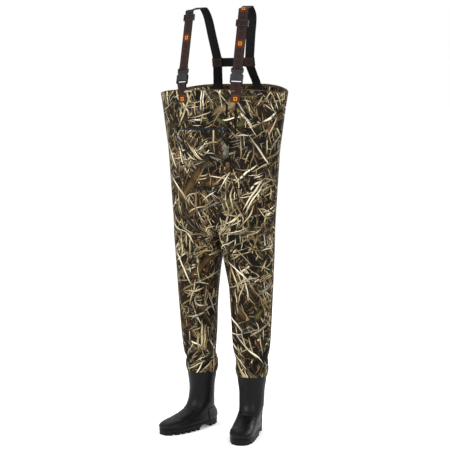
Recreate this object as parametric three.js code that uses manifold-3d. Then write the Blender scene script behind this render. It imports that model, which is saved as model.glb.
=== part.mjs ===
// Chest waders: a sewn and taped fabric garment welded to two rubber boots, held up by webbing
// suspenders with side-release buckles. Millimetres, +Z up, the wearer faces -Y.
import * as THREE from 'three';
import { mergeVertices } from 'three/addons/utils/BufferGeometryUtils.js';
import Module from 'manifold-3d';

const wasm = await Module();
wasm.setup();

// ---- driving dimensions ----
const BOOT_HEIGHT = 290; // floor to the top of the rubber shaft
const HEM_OVERLAP = 56; // how far a leg reaches down over its boot
const INSEAM = 586; // hem to crotch
const RISE = 165; // crotch to the height where the legs start to part
const BIB_LENGTH = 395; // from there to the front rim
const RIM_RISE = 26; // the back rim above the front one
const RIM_SAG = 22; // the rim's droop at the sides, between the front and back straps
const CHEST_HALF_WIDTH = 270;
const CHEST_HALF_DEPTH = 145;
const HIP_HALF_WIDTH = 224;
const HIP_HALF_DEPTH = 128;
const THIGH_HALF_WIDTH = 106;
const THIGH_HALF_DEPTH = 104;
const KNEE_HALF_WIDTH = 82;
const KNEE_HALF_DEPTH = 90;
const LEG_SPREAD = 113; // centre plane to the middle of a boot's shaft
const LEG_SET_BACK = 30; // the shafts stand this far behind the rim's middle
const FABRIC = 3; // coated fabric with its lining
const FACING_DEPTH = 36; // inner hem band of the rim
const FACING = 0.8;
const TAPE_HALF_WIDTH = 11; // heat-sealed seam tape
const TAPE = 0.6;
const GAP = 0.4; // clearance between pieces that are sewn, glued or welded together
const BOOT_EASE = 0.8; // further room between a leg and its boot

const SHAFT_RADIUS = 61;
const ANKLE_RADIUS = 51;
const SHANK_RADIUS = 60;
const FOOT_FRONT = 225; // toe tip in front of the shaft's axis
const FOOT_BACK = 78;
const FOOT_HALF_WIDTH = 58;
const FOOT_TAPER = 0.17; // how much narrower each half of the foot is at the heel
const TOE_OUT = { right: 19, left: 11.5 }; // degrees
const RUBBER = 3.5;
const LUG_DEPTH = 11;
const LUGS = { length: 17, pitch: 28, archFront: -62, archBack: 8, archRise: 7 };
const HEEL_LUGS = { length: 0.85, pitch: 0.9 }; // of the forefoot's
const LUG_INSET = { toe: 8, heel: 2 }; // from the upper's ends to the first lug
const BLUNT = 0.2; // 0 an elliptical foot, towards 1 a square one
const INWARD = { by: 5, over: 200 }; // the foot's curve towards the other one, over this length
const SOLE_TOP = 26;
const WELT = 3; // the outsole's edge beyond the upper
const OVERLAY = 2.2; // toe cap and heel counter
const INSOLE = 4;
const CAP = { size: [300, 130, 50], at: 22 }; // the boot's front that the toe cap covers
const COUNTER = { size: [300, 80, 50], at: 50 };

const WEBBING_WIDTH = 40;
const WEBBING = 1.6;
const STRAP_X = (CHEST_HALF_WIDTH * 116) / 270; // centre plane to a front tab, 116 on this chest
const STRAP_EASE = 3.333; // degrees that a front strap is turned back from the bib's own slope there
const STRAP_ROLL = 2.6; // degrees that it runs out sideways, so that it stays over its tab
const STRAP_TILT = 13.5; // degrees that a front strap leans back
const TAB_LENGTH = 47; // sewn on the bib below the rim
const BUCKLE_RISE = 27; // rim to the socket's bar
const BUCKLE_WIDTH = WEBBING_WIDTH + 10;
const BUCKLE_THICKNESS = 12;
const SOCKET_LENGTH = 42; // bar to mouth
const TONGUE_LENGTH = 17.5;
const BAR = 4;
const FRONT_STRAP_LENGTH = 224; // tongue bar to the start of the shoulder bend
const ADJUSTER_AT = { right: 209, left: 180 }; // tongue bar to the adjuster's middle
const SHOULDER_STRAP_LENGTH = 84; // brown webbing over the shoulder
const SHOULDER_HEIGHT = 330; // front rim to the straps' highest point
const SHOULDER = { x: 103, y: 5 };
const JUNCTION = { x: 71, y: 92, drop: 215, yaw: 2 }; // below the shoulder's top
const ANCHOR_X = 93;
const ANCHOR_DEPTH = 45; // a back strap's end below the back rim
const ANCHOR_YAW = 11; // degrees that its end is turned to lie against the bib
const LABEL = { size: 17, thick: 0.7, up: 5, down: 82 }; // up a tab, down from an adjuster
const PATCH = { width: 44, height: 38, thick: 1.6 };

const POCKET = { x: -10, width: 205, height: 118, depth: 11, below: 154, wall: 1.8 };
const ZIP = { height: 9, thick: 1.4, chain: 2.4, teeth: 1.2 }; // the chain is thicker by its teeth
const SLIDER = { width: 8, height: 12, plate: 1.1, start: 22 }; // start: in from the pocket's end
const PULL = { width: 6.4, thick: 1.2, length: 25, bar: 0.65, eye: 4.4 };

const HEM_Z = BOOT_HEIGHT - HEM_OVERLAP;
const CROTCH_Z = HEM_Z + INSEAM;
const HIP_Z = CROTCH_Z + RISE;
const RIM_Z = HIP_Z + BIB_LENGTH;

// ---- colours: hex, roughness, metalness ----
const FINISH = {
  camo: [0x6b5d42, 0.85, 0],
  lining: [0x2b2a26, 0.9, 0],
  rubber: [0x1b1c1d, 0.55, 0],
  outsole: [0x161616, 0.7, 0],
  brown: [0x3b2a22, 0.8, 0],
  black: [0x141416, 0.8, 0],
  label: [0xc9701c, 0.6, 0],
  plastic: [0x101012, 0.4, 0],
  zip: [0x1a1a1c, 0.6, 0],
  metal: [0x55565a, 0.35, 0.9],
};

const model = new THREE.Group();

function add(name, geometry, finish, parent = model) {
  const [color, roughness, metalness] = FINISH[finish];
  const material = new THREE.MeshStandardMaterial({ color, roughness, metalness });
  const mesh = new THREE.Mesh(geometry, material);
  mesh.name = name;
  parent.add(mesh);
  return mesh;
}

// ---- closed bodies ----
const SIDES = [['right', -1], ['left', 1]];
const degrees = THREE.MathUtils.degToRad;
const lerp = THREE.MathUtils.lerp;

function outward(points, triangles) {
  let volume = 0;
  for (const [a, b, c] of triangles) {
    volume += points[a].dot(new THREE.Vector3().crossVectors(points[b], points[c]));
  }
  const faces = volume < 0 ? triangles.map(([a, b, c]) => [a, c, b]) : triangles;
  const geometry = new THREE.BufferGeometry().setFromPoints(points);
  geometry.setIndex(faces.flat());
  return geometry;
}

// Two facing grids of points, [row][column], joined along their edges. A wrapped sheet is a ring.
function sheetBody(front, back, wrapped = false) {
  const rows = front.length;
  const columns = front[0].length;
  const points = [...front.flat(), ...back.flat()];
  const at = (layer, r, c) => layer * rows * columns + r * columns + (c % columns);
  const triangles = [];
  const quad = (a, b, c, d) => triangles.push([a, b, c], [a, c, d]);
  const last = wrapped ? columns : columns - 1;
  for (let r = 0; r < rows - 1; r++) {
    for (let c = 0; c < last; c++) {
      quad(at(0, r, c), at(0, r, c + 1), at(0, r + 1, c + 1), at(0, r + 1, c));
      quad(at(1, r, c), at(1, r + 1, c), at(1, r + 1, c + 1), at(1, r, c + 1));
    }
  }
  for (let c = 0; c < last; c++) {
    quad(at(0, 0, c), at(1, 0, c), at(1, 0, c + 1), at(0, 0, c + 1));
    quad(at(0, rows - 1, c), at(0, rows - 1, c + 1), at(1, rows - 1, c + 1), at(1, rows - 1, c));
  }
  if (!wrapped) {
    for (let r = 0; r < rows - 1; r++) {
      quad(at(0, r, 0), at(0, r + 1, 0), at(1, r + 1, 0), at(1, r, 0));
      quad(at(0, r, last), at(1, r, last), at(1, r + 1, last), at(0, r + 1, last));
    }
  }
  return outward(points, triangles);
}

// Closed loops stacked into one solid, with a fan over each end.
function loftBody(loops) {
  const count = loops[0].length;
  const middle = (loop) => loop.reduce((sum, p) => sum.add(p), new THREE.Vector3()).divideScalar(count);
  const points = [...loops.flat(), middle(loops[0]), middle(loops[loops.length - 1])];
  const triangles = [];
  for (let r = 0; r < loops.length - 1; r++) {
    for (let c = 0; c < count; c++) {
      const [a, b] = [r * count + c, r * count + ((c + 1) % count)];
      triangles.push([a, b, b + count], [a, b + count, a + count]);
    }
  }
  const top = (loops.length - 1) * count;
  for (let c = 0; c < count; c++) {
    triangles.push([points.length - 2, (c + 1) % count, c]);
    triangles.push([points.length - 1, top + c, top + ((c + 1) % count)]);
  }
  return outward(points, triangles);
}

function box(width, depth, height, x = 0, y = 0, z = 0) {
  return new THREE.BoxGeometry(width, depth, height).translate(x, y, z);
}

function solid(geometry) {
  const bare = geometry.clone();
  bare.deleteAttribute('normal');
  bare.deleteAttribute('uv');
  const merged = mergeVertices(bare, 1e-4);
  return new wasm.Manifold(new wasm.Mesh({
    numProp: 3,
    vertProperties: new Float32Array(merged.attributes.position.array),
    triVerts: new Uint32Array(merged.index.array),
  }));
}

function shell(manifold) {
  const mesh = manifold.getMesh();
  const geometry = new THREE.BufferGeometry();
  geometry.setAttribute('position', new THREE.BufferAttribute(mesh.vertProperties, 3));
  geometry.setIndex(new THREE.BufferAttribute(mesh.triVerts, 1));
  return geometry;
}

const join = (...parts) => shell(parts.map(solid).reduce((sum, part) => sum.add(part)));
const cut = (part, ...tools) => shell(
  tools.map(solid).reduce((rest, tool) => rest.subtract(tool), solid(part)));

// A flat outline in (y, z), pushed out equally to both sides along x.
function acrossBody(shape, width) {
  const geometry = new THREE.ExtrudeGeometry(shape, { depth: width, bevelEnabled: false, curveSegments: 6 });
  geometry.translate(0, 0, -width / 2);
  // outline x becomes y and outline y becomes z
  return geometry.applyMatrix4(new THREE.Matrix4().makeBasis(
    new THREE.Vector3(0, 1, 0), new THREE.Vector3(0, 0, 1), new THREE.Vector3(1, 0, 0)));
}

// The outline of a band that follows a line of points, thick / 2 to each side.
function bandShape(line, thick) {
  const normalAt = (i) => {
    const from = line[Math.max(i - 1, 0)];
    const to = line[Math.min(i + 1, line.length - 1)];
    return new THREE.Vector2(-(to.y - from.y), to.x - from.x).normalize();
  };
  const side = (sign) => line.map((p, i) => p.clone().addScaledVector(normalAt(i), (sign * thick) / 2));
  return new THREE.Shape([...side(1), ...side(-1).reverse()]);
}

// ---- the garment's surface ----
// Values at a few heights, joined by straight lines.
function profile(stations) {
  return (z) => {
    let i = 1;
    while (i < stations.length - 1 && z > stations[i][0]) i++;
    const [z0, v0] = stations[i - 1];
    const [z1, v1] = stations[i];
    return lerp(v0, v1, THREE.MathUtils.clamp((z - z0) / (z1 - z0), 0, 1));
  };
}

const HEM_RADIUS = SHANK_RADIUS + GAP + FABRIC + BOOT_EASE;
const CUFF_RADIUS = SHAFT_RADIUS + GAP + FABRIC + BOOT_EASE;
const KNEE_Z = HEM_Z + INSEAM * 0.52;
const CALF_Z = HEM_Z + INSEAM * 0.3;
const LEG_GAP = 1; // a leg's inside to the centre plane at the crotch
const torsoWidth = profile([
  [CROTCH_Z, 2 * THIGH_HALF_WIDTH + LEG_GAP],
  [HIP_Z, HIP_HALF_WIDTH],
  [HIP_Z + BIB_LENGTH * 0.42, lerp(HIP_HALF_WIDTH, CHEST_HALF_WIDTH, 0.26)],
  [RIM_Z - FACING_DEPTH, lerp(HIP_HALF_WIDTH, CHEST_HALF_WIDTH, 0.86)],
  [RIM_Z, CHEST_HALF_WIDTH],
]);
const LEG_FRONT = Math.PI / 3; // where a leg's front meets the torso's ellipse
const torsoDepth = profile([
  [CROTCH_Z, THIGH_HALF_DEPTH / Math.sin(LEG_FRONT)],
  [HIP_Z, HIP_HALF_DEPTH],
  [RIM_Z, CHEST_HALF_DEPTH],
]);
// how far the torso's surface stands from the centre line, x to one side
const depthAcross = (x, z) => torsoDepth(z) * Math.sqrt(1 - (x / torsoWidth(z)) ** 2);
const legWidth = profile([
  [HEM_Z, HEM_RADIUS],
  [BOOT_HEIGHT, CUFF_RADIUS],
  [CALF_Z, lerp(CUFF_RADIUS, KNEE_HALF_WIDTH, 0.55)],
  [KNEE_Z, KNEE_HALF_WIDTH],
  [CROTCH_Z, THIGH_HALF_WIDTH],
]);
const legDepth = profile([
  [HEM_Z, HEM_RADIUS],
  [BOOT_HEIGHT, CUFF_RADIUS],
  [CALF_Z, lerp(CUFF_RADIUS, KNEE_HALF_DEPTH, 0.6)],
  [KNEE_Z, KNEE_HALF_DEPTH],
  [CROTCH_Z, THIGH_HALF_DEPTH],
]);
const legSpread = profile([
  [HEM_Z, LEG_SPREAD],
  [KNEE_Z, LEG_SPREAD],
  [CROTCH_Z, THIGH_HALF_WIDTH + LEG_GAP],
]);
const legSetBack = profile([
  [HEM_Z, LEG_SET_BACK],
  [BOOT_HEIGHT, LEG_SET_BACK],
  [CROTCH_Z, 0],
]);

// 0 where the body is one tube, 1 where the legs are two, round at the crotch
function parting(z) {
  const s = THREE.MathUtils.clamp((z - CROTCH_Z) / RISE, 0, 1);
  return 1 - Math.sqrt(1 - (1 - s) ** 2);
}

// t runs from the front middle (0) round the outside (0.5) to the back middle (1). Low on the torso
// its ellipse is shared out so that a leg's front, outside and back carry on up into it.
function section(side, t, z) {
  const phi = (2 * t - 1) * Math.PI;
  const w = parting(z);
  const share = Math.abs(phi) / Math.PI;
  const drawn = share * (5 - 2 * share) / 3;
  const low = 1 - THREE.MathUtils.smoothstep(z, HIP_Z, HIP_Z + RISE);
  const angle = Math.sign(phi) * (Math.PI / 2) * lerp(share, drawn, low);
  const torsoX = torsoWidth(z) * Math.cos(angle);
  const torsoY = torsoDepth(z) * Math.sin(angle);
  const legX = legSpread(z) + legWidth(z) * Math.cos(phi);
  const legY = legSetBack(z) + legDepth(z) * Math.sin(phi);
  return new THREE.Vector2(side * (GAP / 2 + lerp(torsoX, legX, w)), lerp(torsoY, legY, w));
}

const STRAPS_AT = [0.14, 0.89]; // where the straps hold the rim up, in t

function garmentPoint(side, t, z, inset) {
  const step = 1e-4;
  const ahead = section(side, Math.min(t + step, 1), z);
  const along = ahead.sub(section(side, Math.max(t - step, 0), z)).normalize();
  const p = section(side, t, z);
  // the outward normal is on the left of the way round on the right half, and mirrored on the other
  p.add(new THREE.Vector2(along.y, -along.x).multiplyScalar(-side * inset));
  const beside = THREE.MathUtils.clamp((t - STRAPS_AT[0]) / (STRAPS_AT[1] - STRAPS_AT[0]), 0, 1);
  const sag = RIM_SAG * Math.sin(Math.PI * beside) ** 2;
  const lift = RIM_RISE * THREE.MathUtils.smoothstep(t, 0.1, 0.9) - sag;
  return new THREE.Vector3(p.x, p.y, z + lift * Math.max(0, (z - HIP_Z) / BIB_LENGTH));
}

const LEG_ROWS = [0, 0.048, HEM_OVERLAP / INSEAM, 0.2, 0.3, 0.41, 0.52, 0.64, 0.76, 0.88, 0.95, 1];
const RISE_STEPS = 7;
const BIB_ROWS = [0.14, 0.28, 0.42, 0.58, 0.74, 1 - FACING_DEPTH / BIB_LENGTH, 1];
const rowHeights = [
  ...LEG_ROWS.map((share) => HEM_Z + share * INSEAM),
  ...Array.from({ length: RISE_STEPS }, (_, i) => CROTCH_Z + RISE * ((i + 1) / RISE_STEPS) ** 2),
  ...BIB_ROWS.map((share) => HIP_Z + share * BIB_LENGTH),
];
const COLUMNS = 9; // facets across one panel
const SEAM = 0.0008; // share of the way round left open at a seam

// One panel's columns, from its inner seam to its outer one.
function panelColumns(back) {
  const [from, to] = back ? [0.5 + SEAM, 1 - SEAM] : [SEAM, 0.5 - SEAM];
  return Array.from({ length: COLUMNS + 1 }, (_, i) => lerp(from, to, i / COLUMNS));
}

function addPanels() {
  for (const [name, side] of SIDES) {
    for (const [half, back] of [['front', false], ['back', true]]) {
      const row = (z, inset) => panelColumns(back).map((t) => garmentPoint(side, t, z, inset));
      const grid = (inset) => rowHeights.map((z) => row(z, inset));
      add(`${name}_${half}_panel`, sheetBody(grid(0), grid(FABRIC)), 'camo');
    }
  }
}

// A point on a panel's own facets, a distance from a seam, so that what lies on it lies flush.
function besideSeam(side, seamT, way, z, distance, inset) {
  const columns = panelColumns(seamT + way * 0.01 > 0.5);
  const edge = way > 0 ? 0 : COLUMNS;
  const start = garmentPoint(side, columns[edge], z, inset);
  const next = garmentPoint(side, columns[edge + way], z, inset);
  return start.lerp(next, distance / start.distanceTo(next));
}

// A tape over a seam between two panels, on their inside: rows of edge, seam and edge points.
function seamTape(heights, rowAt) {
  const from = FABRIC + GAP;
  return sheetBody(heights.map((z) => rowAt(z, from)), heights.map((z) => rowAt(z, from + TAPE)));
}

function addSeamTapes() {
  const top = rowHeights.length - 2; // below the facing
  const below = (limit) => rowHeights.slice(0, top).filter((z) => z < limit);
  const above = (limit) => [...rowHeights.slice(0, top).filter((z) => z > limit), RIM_Z - FACING_DEPTH - GAP];
  const bibRows = above(HIP_Z - 1);
  for (const [name, t, way] of [['front', 0, 1], ['back', 1, -1]]) {
    const row = (z, inset) => {
      const [right, left] = [-1, 1].map((side) => besideSeam(side, t, way, z, TAPE_HALF_WIDTH, inset));
      const near = [-1, 1].map((side) => besideSeam(side, t, way, z, 0.01, inset));
      return [right, near[0].add(near[1]).multiplyScalar(0.5), left];
    };
    add(`${name}_seam_tape`, seamTape(bibRows, row), 'lining');
  }
  for (const [name, side] of SIDES) {
    const across = (t) => (z, inset) => {
      const [one, other] = t === 0.5 ? [[0.5, -1], [0.5, 1]] : [[1, -1], [0, 1]];
      const edges = [one, other].map(([seam, way]) => besideSeam(side, seam, way, z, TAPE_HALF_WIDTH, inset));
      const middle = [one, other].map(([seam, way]) => besideSeam(side, seam, way, z, 0.01, inset));
      return [edges[0], middle[0].add(middle[1]).multiplyScalar(0.5), edges[1]];
    };
    const aboveBoot = BOOT_HEIGHT + 2;
    const sideRows = [aboveBoot, ...above(aboveBoot)];
    add(`${name}_side_seam_tape`, seamTape(sideRows, across(0.5)), 'lining');
    const inseamRows = [aboveBoot, ...below(CROTCH_Z - 20).filter((z) => z > aboveBoot)];
    add(`${name}_inseam_tape`, seamTape(inseamRows, across(0)), 'lining');
  }
}

// Both halves' columns, once round the body, for rings at the rim.
function rimLoop(z, inset, rise = 0) {
  const half = (side) => [...panelColumns(false), ...panelColumns(true)].map((t) => {
    const p = garmentPoint(side, t, z, inset);
    p.z += rise;
    return p;
  });
  return [...half(-1), ...half(1).reverse()];
}

function addRim() {
  const lower = RIM_Z - FACING_DEPTH;
  const facing = (inset) => [rimLoop(lower, inset), rimLoop(RIM_Z, inset)];
  add('rim_facing', sheetBody(facing(FABRIC + GAP), facing(FABRIC + GAP + FACING), true), 'camo');
  const capRise = 2.6;
  const cap = (inset) => [rimLoop(RIM_Z, inset, GAP), rimLoop(RIM_Z, inset, GAP + capRise)];
  add('rim_binding', sheetBody(cap(-0.3), cap(FABRIC + GAP + FACING + 0.3), true), 'lining');
}

// ---- boots ----
// Height, front, back and half width of the upper, from the welt to the top.
const BOOT_STATIONS = [
  [SOLE_TOP, FOOT_FRONT - 3, FOOT_BACK - 4, FOOT_HALF_WIDTH - 1],
  [34, FOOT_FRONT, FOOT_BACK - 1, FOOT_HALF_WIDTH],
  [43, FOOT_FRONT - 9, FOOT_BACK, FOOT_HALF_WIDTH - 1],
  [50, FOOT_FRONT - 28, FOOT_BACK - 1, FOOT_HALF_WIDTH - 3],
  [57, FOOT_FRONT - 60, FOOT_BACK - 4, FOOT_HALF_WIDTH - 4],
  [67, FOOT_FRONT - 98, FOOT_BACK - 11, FOOT_HALF_WIDTH - 6],
  [80, FOOT_FRONT - 132, FOOT_BACK - 19, ANKLE_RADIUS + 1],
  [98, ANKLE_RADIUS + 22, ANKLE_RADIUS + 5, ANKLE_RADIUS],
  [125, ANKLE_RADIUS + 9, ANKLE_RADIUS + 1, ANKLE_RADIUS],
  [165, ANKLE_RADIUS + 3, ANKLE_RADIUS + 1, ANKLE_RADIUS + 1],
  [HEM_Z, SHANK_RADIUS, SHANK_RADIUS, SHANK_RADIUS],
  [BOOT_HEIGHT, SHAFT_RADIUS, SHAFT_RADIUS, SHAFT_RADIUS],
];
const BOOT_FACETS = 24;
const FOOT_TOP = 110; // below this a thicker boot is taller too

// One level of the boot: rounder and evenly wide up the shaft, narrower at the heel in the foot.
function bootLoop(side, [z, front, back, halfWidth], grow) {
  const footness = 1 - THREE.MathUtils.smoothstep(z, 60, 120);
  const middle = (back - front) / 2;
  const half = (front + back) / 2 + grow;
  return Array.from({ length: BOOT_FACETS }, (_, i) => {
    const angle = (i / BOOT_FACETS) * 2 * Math.PI;
    const [c, s] = [Math.cos(angle), Math.sin(angle)];
    const blunt = (v) => Math.sign(v) * Math.abs(v) ** (1 - BLUNT * footness);
    const taper = 1 - FOOT_TAPER * footness * (1 + c);
    const y = middle + half * blunt(c);
    const ahead = Math.min(1, Math.max(0, -y / INWARD.over));
    const inwardCurve = -side * INWARD.by * footness * Math.sin(Math.PI * ahead);
    return new THREE.Vector3(blunt(s) * (halfWidth + grow) * taper + inwardCurve, y, z);
  });
}

function bootSolid(side, grow, fromZ, toZ) {
  const loops = BOOT_STATIONS.map((station) => bootLoop(side, station, grow));
  const heights = BOOT_STATIONS.map(([z]) => z + (z < FOOT_TOP ? grow : 0));
  heights[0] = fromZ;
  heights[heights.length - 1] = toZ;
  return loftBody(loops.map((loop, i) => loop.map((p) => new THREE.Vector3(p.x, p.y, heights[i]))));
}

function solePrism(side, grow, low, high) {
  const outline = bootLoop(side, BOOT_STATIONS[0], grow);
  const level = (z) => outline.map((p) => new THREE.Vector3(p.x, p.y, z));
  return loftBody([level(low), level(high)]);
}

function addBoot(name, side) {
  const boot = new THREE.Group();
  boot.position.set(side * LEG_SPREAD, LEG_SET_BACK, 0);
  boot.rotation.z = side * degrees(TOE_OUT[name]);
  model.add(boot);
  const floor = SOLE_TOP + GAP;
  const hollow = bootSolid(side, -RUBBER, floor + RUBBER, BOOT_HEIGHT + 10);
  add(`${name}_boot_upper`, cut(bootSolid(side, 0, floor, BOOT_HEIGHT), hollow), 'rubber', boot);

  const lugs = [];
  const { length, pitch, archFront, archBack, archRise } = LUGS;
  const wide = 2 * (FOOT_HALF_WIDTH + WELT + 5);
  const tall = LUG_DEPTH + 2; // into the plate above
  for (let y = -FOOT_FRONT + LUG_INSET.toe; y < archFront; y += pitch) {
    lugs.push(box(wide, length, tall, 0, y + length / 2, tall / 2));
  }
  const heelLug = length * HEEL_LUGS.length;
  for (let y = FOOT_BACK - LUG_INSET.heel; y > archBack; y -= pitch * HEEL_LUGS.pitch) {
    lugs.push(box(wide, heelLug, tall, 0, y - length / 2, tall / 2));
  }
  const archLength = archBack - archFront - pitch + 4;
  const arch = box(wide + 20, archLength, 2 * archRise, 0, (archFront + archBack) / 2 - 3, LUG_DEPTH);
  const plate = solid(solePrism(side, WELT, LUG_DEPTH, SOLE_TOP)).subtract(solid(arch));
  const footprint = solid(solePrism(side, WELT - 1, -1, SOLE_TOP));
  const tread = lugs.map(solid).reduce((sum, lug) => sum.add(lug)).intersect(footprint);
  add(`${name}_boot_outsole`, shell(plate.add(tread)), 'outsole', boot);

  const insoleFrom = floor + RUBBER + GAP;
  const insole = solid(solePrism(side, -RUBBER - 2 * GAP - 2, insoleFrom, insoleFrom + INSOLE));
  add(`${name}_boot_insole`, shell(insole), 'lining', boot);

  const skin = solid(bootSolid(side, GAP + OVERLAY, floor, BOOT_HEIGHT + 5))
    .subtract(solid(bootSolid(side, GAP, floor - 2, BOOT_HEIGHT + 10)));
  const toeBox = solid(box(...CAP.size, 0, -FOOT_FRONT + CAP.at, floor + CAP.size[2] / 2));
  const heelBox = solid(box(...COUNTER.size, 0, COUNTER.at, floor + COUNTER.size[2] / 2));
  add(`${name}_boot_toe_cap`, shell(skin.intersect(toeBox)), 'rubber', boot);
  add(`${name}_boot_heel_counter`, shell(skin.intersect(heelBox)), 'rubber', boot);
}

// ---- chest pocket ----
function addPocket() {
  const z = RIM_Z - POCKET.below;
  // the pocket hangs flat against the front, touching it at its two ends
  const ends = [-1, 1].map((way) => POCKET.x + (way * POCKET.width) / 2);
  const [y0, y1] = ends.map((x) => -depthAcross(x, z));
  const yaw = Math.atan2(y1 - y0, ends[1] - ends[0]);
  const proud = Math.max(...[-1, -0.5, 0, 0.5, 1].map((k) => {
    const x = POCKET.x + (k * POCKET.width) / 2;
    return lerp(y0, y1, (k + 1) / 2) + depthAcross(x, z);
  }));
  const pocket = new THREE.Group();
  pocket.position.set(POCKET.x, (y0 + y1) / 2 - proud - GAP - 0.6, z);
  pocket.rotation.z = yaw;
  model.add(pocket);

  const { width, height, depth, wall } = POCKET;
  const outer = box(width, depth, height, 0, -depth / 2, -height / 2);
  const inside = box(width - 2 * wall, depth, height, 0, -depth / 2 + wall, -height / 2 + wall);
  add('pocket_pouch', cut(outer, inside), 'camo', pocket);
  const chainY = -depth + wall / 2;
  const tape = box(width - 8, ZIP.thick, ZIP.height, 0, chainY, GAP + ZIP.height / 2);
  const chain = box(width - 20, ZIP.thick + ZIP.teeth, ZIP.chain, 0, chainY, GAP + ZIP.height / 2);
  add('pocket_zip_tape', join(tape, chain), 'zip', pocket);

  // the slider wraps the chain: a front and a back plate joined by a post above the tape
  const slider = new THREE.Group();
  slider.position.set(width / 2 - SLIDER.start, chainY, GAP + ZIP.height / 2);
  pocket.add(slider);
  const jaw = (ZIP.thick + ZIP.teeth) / 2 + GAP;
  const { plate } = SLIDER;
  const front = box(SLIDER.width, plate, SLIDER.height, 0, -jaw - plate / 2, 0.6);
  const back = box(SLIDER.width, plate, SLIDER.height, 0, jaw + plate / 2, 0.6);
  const post = box(SLIDER.width, 2 * jaw + 2 * plate, 1.2, 0, 0, ZIP.height / 2 + GAP + 0.8);
  const eyeAt = -jaw - plate - 2; // the pull's hinge line
  const lug = box(1.6, 4.2, 6.4, 0, eyeAt, 1);
  const eye = box(4, 2.2, 2.4, 0, eyeAt, 1);
  add('pocket_zip_slider', cut(join(front, back, post, lug), eye), 'metal', slider);
  const pull = new THREE.Group();
  pull.position.set(0, eyeAt, 1);
  slider.add(pull);
  const { bar, length } = PULL;
  const ring = box(PULL.width, PULL.thick, length + bar, 0, 0, (bar - length) / 2);
  const hole = box(3, 4, PULL.eye, 0, 0, -bar - PULL.eye / 2);
  add('pocket_zip_pull', cut(ring, hole), 'zip', pull);
}

// ---- suspenders ----
const LOOP_RADIUS = BAR / Math.SQRT2 + GAP + WEBBING / 2; // webbing round a square bar
const LAYER_OUT = WEBBING / 2 + GAP / 2; // from the plane between two layers of webbing to one of them

// A webbing loop round a bar, seen from the side: up the front, over the bar and down the back.
function loopLine(front, back) {
  const r = LOOP_RADIUS;
  const near = LAYER_OUT;
  const line = front.map(([n, u]) => new THREE.Vector2(n, u));
  line.push(new THREE.Vector2(-near, -3.2 * r));
  for (let i = 0; i <= 8; i++) {
    const angle = Math.PI * (1 - i / 8);
    line.push(new THREE.Vector2(r * Math.cos(angle), r * Math.sin(angle)));
  }
  line.push(new THREE.Vector2(near, -3.2 * r));
  line.push(...back.map(([n, u]) => new THREE.Vector2(n, u)));
  return line;
}

function roundedPlate(width, height, thick, radius) {
  const [w, h] = [width / 2, height / 2];
  const shape = new THREE.Shape();
  shape.moveTo(-w + radius, -h);
  shape.lineTo(w - radius, -h);
  shape.absarc(w - radius, -h + radius, radius, -Math.PI / 2, 0);
  shape.absarc(w - radius, h - radius, radius, 0, Math.PI / 2);
  shape.absarc(-w + radius, h - radius, radius, Math.PI / 2, Math.PI);
  shape.absarc(-w + radius, -h + radius, radius, Math.PI, 1.5 * Math.PI);
  const geometry = new THREE.ExtrudeGeometry(shape, { depth: thick, bevelEnabled: false, curveSegments: 3 });
  // the plate stands up, facing -Y, its middle at the origin
  return geometry.translate(0, 0, -thick / 2).rotateX(Math.PI / 2);
}

const SOCKET_FACE = 2.6;
const THROAT = BUCKLE_THICKNESS - 2 * SOCKET_FACE; // space between the socket's two faces
const THROAT_FROM = 17; // up from the socket's bar
const SLOT = { low: BAR / 2, high: 10 };

function socketBody() {
  const length = SOCKET_LENGTH + BAR / 2;
  const body = roundedPlate(BUCKLE_WIDTH, length, BUCKLE_THICKNESS, 5).translate(0, 0, length / 2 - BAR / 2);
  const slotWidth = WEBBING_WIDTH + 2;
  const slot = box(slotWidth, 30, SLOT.high - SLOT.low, 0, 0, (SLOT.high + SLOT.low) / 2);
  // the bar is slimmer than the body
  const under = (sign) => box(slotWidth, 10, BAR + 8, 0, sign * (BAR / 2 + 5), SLOT.low - (BAR + 8) / 2);
  const throat = box(BUCKLE_WIDTH + 10, THROAT, SOCKET_LENGTH, 0, 0, THROAT_FROM + SOCKET_LENGTH / 2);
  const waist = (sign) => box(10, 30, 12, sign * (BUCKLE_WIDTH / 2 + 1), 0, SOCKET_LENGTH - 2);
  return cut(body, slot, under(1), under(-1), throat, waist(1), waist(-1));
}

function tongueBody() {
  const base = roundedPlate(BUCKLE_WIDTH, TONGUE_LENGTH, BUCKLE_THICKNESS - 3, 3);
  base.translate(0, 0, TONGUE_LENGTH / 2);
  const slotWidth = WEBBING_WIDTH + 2;
  const slotLow = 10.2; // just clear of the webbing round the bar
  const barAt = TONGUE_LENGTH - BAR / 2;
  const slot = box(slotWidth, 30, barAt - BAR / 2 - slotLow, 0, 0, (barAt - BAR / 2 + slotLow) / 2);
  const overZ = barAt - BAR / 2 + (BAR + 8) / 2;
  const over = (sign) => box(slotWidth, 10, BAR + 8, 0, sign * (BAR / 2 + 5), overZ);
  return cut(base, slot, over(1), over(-1));
}

const PRONG = { x: 15.5, width: 4.4, length: 24 };

// A springy arm that hangs from the tongue's base, with a finger ear on its outside.
function prongBody(way) {
  const shape = new THREE.Shape();
  const { width, length } = PRONG;
  shape.moveTo(-width / 2, -GAP);
  shape.lineTo(width / 2, -GAP);
  shape.lineTo(width / 2, -8);
  shape.quadraticCurveTo(8.6, -10, 8.6, -15);
  shape.quadraticCurveTo(8.6, -20, width / 2, -length);
  shape.lineTo(-width / 2, -length);
  shape.closePath();
  const thick = THROAT - 2 * GAP;
  const geometry = new THREE.ExtrudeGeometry(shape, { depth: thick, bevelEnabled: false, curveSegments: 4 });
  geometry.translate(0, 0, -thick / 2).rotateX(Math.PI / 2);
  return way > 0 ? geometry : geometry.rotateZ(Math.PI);
}

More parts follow.
